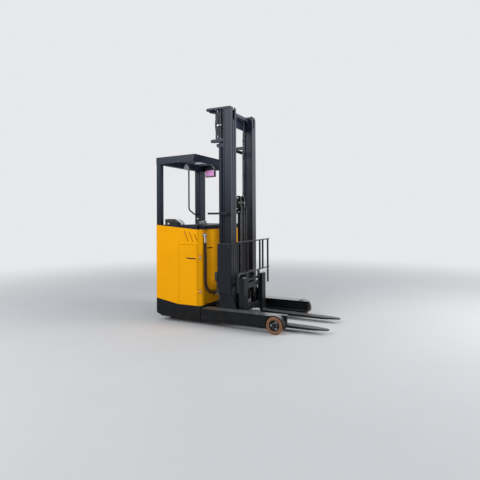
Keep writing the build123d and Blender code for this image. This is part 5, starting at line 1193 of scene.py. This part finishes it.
class TRUCK_OT_controls(bpy.types.Operator):
    """Fit the control box with its buttons, the lever and the steering wheel"""
    bl_idname = "truck.controls"
    bl_label = "Controls"

    def execute(self, context):
        base_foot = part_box("control_box")[0][2]
        self.fit_lever(base_foot)
        self.fit_keys(base_foot)
        self.fit_steering_wheel()
        return {"FINISHED"}

    def fit_lever(self, foot):
        """The control box's base with the lever in its folded boot."""
        (rear, right, _), (front, left, _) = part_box("control_box")
        x, y = rear + 0.030, right + 0.024
        base, stem, cap = bmesh.new(), bmesh.new(), bmesh.new()
        box_between(base, (rear, right, foot), (front, left, foot + 0.0080), 0.0025)
        fixings(base, [(screw_x, screw_y, foot + 0.0078) for screw_x in (rear + 0.010, front - 0.010)
                       for screw_y in (right + 0.010, left - 0.010)], UP, 0.0032, screw)
        joined(base, turned([(0, 0), (0.020, 0), (0.0205, 0.003), (0.0150, 0.007), (0.0165, 0.010),
                             (0.0120, 0.014), (0.0135, 0.017), (0.0095, 0.021), (0.0105, 0.024),
                             (0.0070, 0.028), (0, 0.028)], 28), (x, y, foot + 0.0075))
        keep_mesh(base, "control_base", "black_plastic", "chassis")
        tube(stem, (x, y, foot + 0.024), UP, 0.0052, 0.036)
        joined(stem, turned([(0, 0), (0.0085, 0.000), (0.0100, 0.004), (0.0105, 0.012), (0.0120, 0.016),
                             (0, 0.016)], 28), (x, y, foot + 0.054))
        keep_mesh(stem, "lever_stem", "dark_nut", "chassis")
        joined(cap, turned([(0, 0), (0.0130, 0.000), (0.0150, 0.004), (0.0145, 0.009), (0.0105, 0.0135),
                            (0.0050, 0.0152), (0, 0.0155)], 32), (x, y, foot + 0.0700))
        keep_mesh(cap, "lever_cap", "pale_trim", "chassis")

    def fit_keys(self, foot):
        """The sloping case with two rows of keys and three small lamps."""
        (rear, right), (front, left) = (-0.664, -0.238), (-0.598, -0.152)
        case, panel, lamps = bmesh.new(), bmesh.new(), bmesh.new()
        side_plate(case, [(rear, foot + 0.0075), (front, foot + 0.0075), (front, foot + 0.0480),
                          (front - 0.006, foot + 0.0500), (rear + 0.004, foot + 0.0380),
                          (rear, foot + 0.0340)], right, left - right, 0.003)
        box_between(case, (rear - 0.007, right + 0.008, foot + 0.012),
                    (rear + 0.001, left - 0.008, foot + 0.030), 0.002)
        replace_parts(keep_mesh(case, "control_case", "grey_plastic", "chassis"), "control_box")
        slope = Matrix.Rotation(-math.atan2(0.012, front - rear), 4, "Y")
        face = Matrix.Translation(((rear + front) / 2, (right + left) / 2, foot + 0.0440)) @ slope
        joined(panel, soft_box((0.056, 0.076, 0.0016), 0.0007), before=face)
        for y in (-0.026, -0.009, 0.009, 0.026):
            for x in (-0.014, 0.008):
                joined(panel, disc(0.0055, 0.0040, 0.0012, 20),
                       before=face @ Matrix.Translation((x, y, 0.0006)))
        keep_mesh(panel, "control_keys", "black_plastic", "chassis")
        for y in (-0.018, 0.0, 0.018):
            joined(lamps, disc(0.0024, 0.0024, 0.0008, 14),
                   before=face @ Matrix.Translation((0.0225, y, 0.0006)))
        keep_mesh(lamps, "control_lamps", "pale_trim", "chassis")

    def fit_steering_wheel(self):
        """The steering wheel with its rim, spokes, ribbed column and turning knob."""
        rim_z, grip_radius, grip_steps = 1.142, 0.0112, 16
        wheel, spinner = bmesh.new(), bmesh.new()
        grip = []
        for step in range(grip_steps + 1):
            angle = 2 * math.pi * step / grip_steps
            grip.append((STEERING_RIM + grip_radius * math.cos(angle), grip_radius * math.sin(angle)))
        joined(wheel, turned(grip, 72), (STEERING_X, STEERING_Y, rim_z))
        joined(wheel, turned([(0, -0.020), (0.030, -0.020), (0.032, -0.014), (0.034, 0.000), (0.030, 0.008),
                              (0.018, 0.012), (0, 0.013)], 40), (STEERING_X, STEERING_Y, rim_z - 0.006))
        for degrees in (180, 300, 420):
            joined(wheel, soft_box((0.078, 0.024, 0.008), 0.0035, 3), (STEERING_X, STEERING_Y, rim_z - 0.008),
                   before=spun(degrees, "Z") @ Matrix.Translation((0.063, 0, 0.003)) @ spun(-5, "Y"))
        tube(wheel, (STEERING_X, STEERING_Y, 1.0803), UP, 0.015, 0.045, 0.002)
        for step in range(4):
            tube(wheel, (STEERING_X, STEERING_Y, 1.084 + 0.0085 * step), UP, 0.021 - 0.001 * step, 0.004,
                 0.0015, 28)
        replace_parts(keep_mesh(wheel, "wheel_rim", "black_plastic", "steering", 40.0), "steering_wheel")
        knob_x = STEERING_X - STEERING_RIM * math.cos(math.radians(30))
        knob_y = STEERING_Y + STEERING_RIM / 2
        tube(spinner, (knob_x, knob_y, rim_z + 0.008), UP, 0.0075, 0.016)
        joined(spinner, turned([(0, 0), (0.010, 0.000), (0.0125, 0.004), (0.0145, 0.012), (0.0195, 0.022),
                                (0.0205, 0.030), (0.0180, 0.038), (0.0105, 0.0435), (0, 0.0450)], 36),
               (knob_x, knob_y, rim_z + 0.020))
        keep_mesh(spinner, "spinner_knob", "grey_plastic", "steering")


class TRUCK_OT_body_fittings(bpy.types.Operator):
    """Put painted shade behind the louvres and in the slots of the body and fit the door's hinge pins"""
    bl_idname = "truck.body_fittings"
    bl_label = "Body fittings"

    def execute(self, context):
        front, inner = PANEL_FRONT, BODY_RIGHT + 0.004
        backs, lips, door_slot, front_slot, steel = (bmesh.new() for _ in range(5))
        # Painted shade: a darker orange plate behind the louvres stands in for the shade inside them.
        box_between(backs, (front - 0.262, inner + 0.0002, 1.056),
                    (front - 0.040, inner + 0.0018, 1.214), 0.0003)
        keep_mesh(backs, "louvre_shade_backs", "body_painted_shade", "chassis")
        width = 0.0026
        for top_x, top_z, foot_x, foot_z in ((-0.700, 1.207, -0.638, 1.067), (-0.621, 1.187, -0.566, 1.068),
                                             (-0.543, 1.167, -0.494, 1.068)):
            lip = [(top_x - width, top_z), (top_x, top_z), (foot_x, foot_z), (foot_x - width, foot_z)]
            side_plate(lips, lip, BODY_RIGHT + 0.0002, 0.0040, 0.0003)
        keep_mesh(lips, "louvre_lips", "body_yellow", "chassis")
        # Painted shade: near-black plates set in the door slot and the front slot stand in for the shade
        # inside them.
        side_plate(door_slot, [(-0.678, 0.867), (-0.655, 0.860), (-0.610, 0.858), (-0.511, 0.854),
                               (-0.515, 0.841), (-0.600, 0.840), (-0.650, 0.846)],
                   BODY_RIGHT + 0.0030, 0.0100, 0)
        keep_mesh(door_slot, "door_slot_shade", "slot_painted_shade", "side_door")
        box_between(front_slot, (front - 0.034, -0.400, 0.958), (front - 0.0272, -0.224, 0.992), 0.001)
        keep_mesh(front_slot, "front_slot_shade", "slot_painted_shade", "chassis")

        out = Vector((1, -1, 0)).normalized()
        for z in (0.430, 0.867):
            at = Vector((-0.4625, -0.5455, z))
            for shift in (-0.026, 0.022):
                tube(steel, at + Vector((0, 0, shift)), UP, 0.0062, 0.004, 0.001)
            tube(steel, at + Vector((-0.0110, 0.0095, 0)), out, 0.0095, 0.018, 0.0025)
            joined(steel, bolt(0.011), at + out * 0.0060, out)
        keep_mesh(steel, "hinge_pins", "bright_fitting", "side_door")
        return {"FINISHED"}


class TRUCK_OT_fork_fittings(bpy.types.Operator):
    """Fit the fork latches, the unions and hoses on the fork carriage and the frame's weld beads"""
    bl_idname = "truck.fork_fittings"
    bl_label = "Fork fittings"

    def execute(self, context):
        self.fit_latches()
        self.fit_unions()
        self.lay_welds()
        return {"FINISHED"}

    def fit_latches(self):
        """The latch pin and its bent handle at the heel of each fork."""
        latches = bmesh.new()
        for side, name in ((1, "left"), (-1, "right")):
            low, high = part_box(f"fork_{name}")
            y, top = (low[1] + high[1]) / 2, high[2]
            tube(latches, (0.050, y, top - 0.0003), UP, 0.0100, 0.006)
            line_curve(f"fork_latch_{name}", [(0.048, y + side * 0.050, top + 0.018),
                                              (0.049, y + side * 0.046, top + 0.008),
                                              (0.050, y + side * 0.034, top + 0.006),
                                              (0.050, y - side * 0.040, top + 0.006),
                                              (0.042, y - side * 0.054, top + 0.006)],
                       0.010, "bright_fitting", "forks")
        keep_mesh(latches, "latch_pins", "bright_fitting", "forks")

    def fit_unions(self):
        """The two blocks of pipe unions on the lift carriage, their hoses and the carriage's bolts."""
        foot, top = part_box("lift_carriage")[0][2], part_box("lift_carriage")[1][2]
        bar_top, bar_front = foot + 0.080, -0.058
        block = bmesh.new()
        for side, name in ((1, "left"), (-1, "right")):
            right, left = sorted((side * 0.024, side * 0.150))
            box_between(block, (bar_front - 0.0215, right, bar_top + 0.0002),
                        (bar_front - 0.0030, left, bar_top + 0.036), 0.003)
            for y in (0.036, 0.064, 0.098, 0.132):
                union(block, (bar_front - 0.012, side * y, bar_top + 0.0355), UP, 0.015, 0.026)
            fixings(block, [(bar_front - 0.0032, side * y, bar_top + 0.018) for y in (0.048, 0.112)],
                    FORWARD, 0.009)
            for index, route in enumerate((TILT_HOSE_INNER, TILT_HOSE_OUTER)):
                line_curve(f"tilt_hose_{name}_{index + 1}", [(x, side * y, z) for x, y, z in route],
                           0.010, "sleeve_rubber", "fork_lift")
            for x in (-0.150, -0.100):
                tube(block, (x, side * 0.140, 0.5745), DOWN, 0.0075, 0.012)
            for z in (foot + 0.040, top - 0.045):
                fixings(block, [(bar_front + 0.0002, side * y, z) for y in (0.222, 0.244)], FORWARD, 0.011)
        keep_mesh(block, "carriage_unions", "bright_fitting", "fork_lift")

    def lay_welds(self):
        """The weld beads above and below the cross bars of the fork frame."""
        welds, bead, length = bmesh.new(), 0.0045, 0.018
        below = [(0, -bead), (0.0070, 0), (0, 0)]
        above = [(0, 0), (0.0070, 0), (0, bead)]
        for side in (1, -1):
            for z, outline in ((0.150, below), (0.214, above), (0.440, below), (0.508, above)):
                weld = plate(outline, length, 0)
                weld.transform(Matrix(((0, 0, 1, 0.006), (-side, 0, 0, side * 0.2260), (0, 1, 0, z),
                                       (0, 0, 0, 1))))
                bmesh.ops.recalc_face_normals(weld, faces=weld.faces)
                joined(welds, weld)
        keep_mesh(welds, "frame_welds", "mast_black", "forks")


class TRUCK_OT_roof_fittings(bpy.types.Operator):
    """Fit the work lamp, its cable and the cab light under the roof"""
    bl_idname = "truck.roof_fittings"
    bl_label = "Roof fittings"

    def execute(self, context):
        (rear, right, foot), (front, left, top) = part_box("work_lamp")
        x, under = (rear + front) / 2, ROOF_UNDERSIDE
        lamp, lens, cab = bmesh.new(), bmesh.new(), bmesh.new()
        box_between(lamp, (rear + 0.002, right + 0.002, foot + 0.004),
                    (front - 0.002, left - 0.002, foot + 0.060), 0.006, 3)
        box_between(lamp, (x - 0.010, -0.014, foot + 0.058), (x + 0.010, 0.014, top), 0.002)
        box_between(lamp, (rear, right, foot + 0.016), (front, left, foot + 0.020), 0.001)
        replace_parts(keep_mesh(lamp, "lamp_housing", "pale_trim", "chassis"), "work_lamp")
        joined(lens, disc(0.020, 0.004, 0.0015, 32), (x, 0, foot + 0.0042), DOWN)
        for side in (1, -1):
            joined(lens, screw(0.0035), (x, side * 0.0335, foot + 0.040), (0, side, 0))
        keep_mesh(lens, "lamp_lens", "grey_plastic", "chassis")
        box_between(cab, (-0.860, -0.034, under - 0.020), (-0.700, 0.034, under), 0.005, 3)
        for end in (-0.866, -0.700):
            box_between(cab, (end, -0.024, under - 0.008), (end + 0.006, 0.024, under), 0.001)
        keep_mesh(cab, "cab_light", "pale_trim", "chassis")
        line_curve("lamp_cable", [(x + 0.008, 0.016, foot + 0.064), (x + 0.030, 0.022, under - 0.006),
                                  (x + 0.080, 0.024, under - 0.006), (-0.866, 0.020, under - 0.006)],
                   0.006, "black_plastic", "chassis")
        return {"FINISHED"}


class TRUCK_OT_operator_place(bpy.types.Operator):
    """Fit the pedal, mat ribs, console switches, drive and caster wheels and battery cables"""
    bl_idname = "truck.operator_place"
    bl_label = "Operator's place"

    def execute(self, context):
        self.lay_mat()
        self.fit_console()
        self.fit_drive_wheel()
        self.fit_caster_caps()
        self.fit_battery()
        return {"FINISHED"}

    def lay_mat(self):
        """The ribs of the floor mat and the ribbed pedal on it."""
        (rear, right, _), (_, left, top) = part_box("floor_mat")
        ribs = bmesh.new()
        for step in range(14):
            x = rear + 0.014 + 0.0222 * step
            box_between(ribs, (x, right + 0.010, top - 0.0002),
                        (x + 0.008, left - 0.010, top + 0.0020), 0.0008)
        tread = top + 0.0022
        side_plate(ribs, [(-0.915, tread), (-0.815, tread), (-0.815, tread + 0.026), (-0.825, tread + 0.029),
                          (-0.915, tread + 0.007)], -0.220, 0.140, 0.002)
        for step in range(4):
            x, z = -0.896 + 0.020 * step, tread + 0.0100 + 0.0049 * step
            box_between(ribs, (x, -0.212, z), (x + 0.007, -0.088, z + 0.0050), 0.0008)
        keep_mesh(ribs, "mat_ribs", "floor_rubber", "chassis")

    def fit_console(self):
        """The switches, vent ribs, screws, key and stop button of the drive console."""
        (rear, right, _), (front, _, top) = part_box("drive_console")
        switches, screws, stop = bmesh.new(), bmesh.new(), bmesh.new()
        box_between(switches, (-1.010, right - 0.0040, 0.880), (-0.880, right + 0.001, 0.990), 0.003)
        for x in (-0.988, -0.945):
            joined(switches, disc(0.0110, 0.008, 0.002, 28), (x, right - 0.0038, 0.960), RIGHT)
        for step in range(9):
            z = 0.560 + 0.022 * step
            box_between(switches, (-1.030, right - 0.0050, z), (-0.880, right + 0.0005, z + 0.008), 0.0020)
        keep_mesh(switches, "console_switches", "black_plastic", "chassis")
        joined(screws, soft_box((0.004, 0.018, 0.014), 0.001), (-0.945, right - 0.0180, 0.960))
        fixings(screws, [(x, right - 0.0001, z) for x in (rear + 0.020, front - 0.016)
                         for z in (0.320, 0.640, 0.960)], RIGHT, 0.0050, screw)
        fixings(screws, [(x, y, top + 0.0001) for x in (-1.050, -0.820) for y in (0.130, 0.470)],
                UP, 0.0050, screw)
        keep_mesh(screws, "console_screws", "dark_nut", "chassis")
        joined(stop, turned([(0, 0), (0.0110, 0.000), (0.0110, 0.012), (0.0190, 0.014), (0.0200, 0.018),
                             (0.0185, 0.024), (0.0120, 0.027), (0, 0.028)], 36),
               (-0.905, right - 0.0038, 0.915), RIGHT)
        keep_mesh(stop, "stop_button", "stop_red", "chassis")

    def fit_drive_wheel(self):
        """The drive wheel's tyre and its dished centre with six nuts."""
        low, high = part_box("drive_wheel")
        at, width = ((low[0] + high[0]) / 2, low[1], (low[2] + high[2]) / 2), high[1] - low[1]
        tyre, centre = bmesh.new(), bmesh.new()
        tread = [(0.0872, 0.0), (0.1060, 0.0), (0.1120, 0.0025), (0.1150, 0.0090), (0.1150, width - 0.0090),
                 (0.1120, width - 0.0025), (0.1060, width), (0.0872, width), (0.0872, 0.0)]
        joined(tyre, turned(tread, 72), at, ALONG_Y)
        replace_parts(keep_mesh(tyre, "drive_tyre", "drive_rubber", "driving_wheel"), "drive_wheel")
        dish = [(0.0205, 0.0010), (0.0400, 0.0010), (0.0420, 0.0030), (0.0420, 0.0200), (0.0871, 0.0220),
                (0.0871, width - 0.0010), (0.0780, width - 0.0010), (0.0740, width - 0.0100),
                (0.0420, width - 0.0100), (0.0400, width - 0.0010), (0.0205, width - 0.0010),
                (0.0205, 0.0010)]
        joined(centre, turned(dish, 56), at, ALONG_Y)
        for degrees in range(0, 360, 60):
            joined(centre, bolt(0.015), at, ALONG_Y, round_place(0.060, degrees, width - 0.0102))
        keep_mesh(centre, "drive_centre", "hub_black", "driving_wheel")

    def fit_caster_caps(self):
        """The round caps with a bolt on the outer faces of the caster pair."""
        low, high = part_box("caster_wheels")
        x, z = (low[0] + high[0]) / 2, (low[2] + high[2]) / 2
        caps = bmesh.new()
        for side, face in ((1, high[1]), (-1, low[1])):
            tube(caps, (x, face - side * 0.0040, z), (0, side, 0), 0.0300, 0.0060, 0.0015, 36)
            joined(caps, bolt(0.020), (x, face + side * 0.0018, z), (0, side, 0))
        keep_mesh(caps, "caster_caps", "zinc_steel", "caster_pair")

    def fit_battery(self):
        """The battery's plug, its two side ribs and its cables."""
        (rear, right, _), (front, _, _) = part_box("battery")
        cell = bmesh.new()
        box_between(cell, (-0.620, right - 0.018, 0.780), (-0.520, right - 0.0002, 0.850), 0.003)
        for z in (0.300, 0.930):
            box_between(cell, (rear + 0.020, right - 0.004, z - 0.006),
                        (front - 0.020, right + 0.001, z + 0.006))
        keep_mesh(cell, "battery_plug", "black_plastic", "chassis")
        for index, x in enumerate((-0.595, -0.545)):
            line_curve(f"battery_cable_{index + 1}", [(x, right - 0.009, 0.848), (x, right - 0.011, 0.900),
                                                      (x + 0.006, right - 0.009, 0.960),
                                                      (x + 0.010, right + 0.012, 0.990),
                                                      (x + 0.012, right + 0.060, 0.992)],
                       0.014, "sleeve_rubber", "chassis")


class TRUCK_PT_panel(bpy.types.Panel):
    bl_label = "Reach Truck"
    bl_idname = "TRUCK_PT_panel"
    bl_space_type = "VIEW_3D"
    bl_region_type = "UI"
    bl_category = "Reach Truck"

    def draw(self, context):
        for group in (context.scene.truck_paint, context.scene.truck_stage):
            for name in group.bl_rna.properties.keys():
                if name not in ("rna_type", "name"):
                    self.layout.prop(group, name)
        for operator in OPERATORS:
            self.layout.operator(operator.bl_idname)


OPERATORS = (TRUCK_OT_stage, TRUCK_OT_finishes, TRUCK_OT_supply_hoses, TRUCK_OT_load_wheels,
             TRUCK_OT_lift_chains, TRUCK_OT_monitor, TRUCK_OT_mast_hoses,
             TRUCK_OT_mast_pipes, TRUCK_OT_mast_fixings, TRUCK_OT_sheaves, TRUCK_OT_hip_pad,
             TRUCK_OT_controls, TRUCK_OT_body_fittings, TRUCK_OT_fork_fittings, TRUCK_OT_roof_fittings,
             TRUCK_OT_operator_place)
GROUPS = (("truck_paint", TruckPaint), ("truck_stage", TruckStage))


def register():
    for name, group in GROUPS:
        bpy.utils.register_class(group)
        setattr(bpy.types.Scene, name, PointerProperty(type=group))
    for operator in OPERATORS:
        bpy.utils.register_class(operator)
    bpy.utils.register_class(TRUCK_PT_panel)


def unregister():
    bpy.utils.unregister_class(TRUCK_PT_panel)
    for operator in reversed(OPERATORS):
        bpy.utils.unregister_class(operator)
    for name, group in reversed(GROUPS):
        delattr(bpy.types.Scene, name)
        bpy.utils.unregister_class(group)


def main():
    register()
    for operator in OPERATORS:
        group, step = operator.bl_idname.split(".")
        getattr(getattr(bpy.ops, group), step)()


if __name__ == "__main__":
    main()
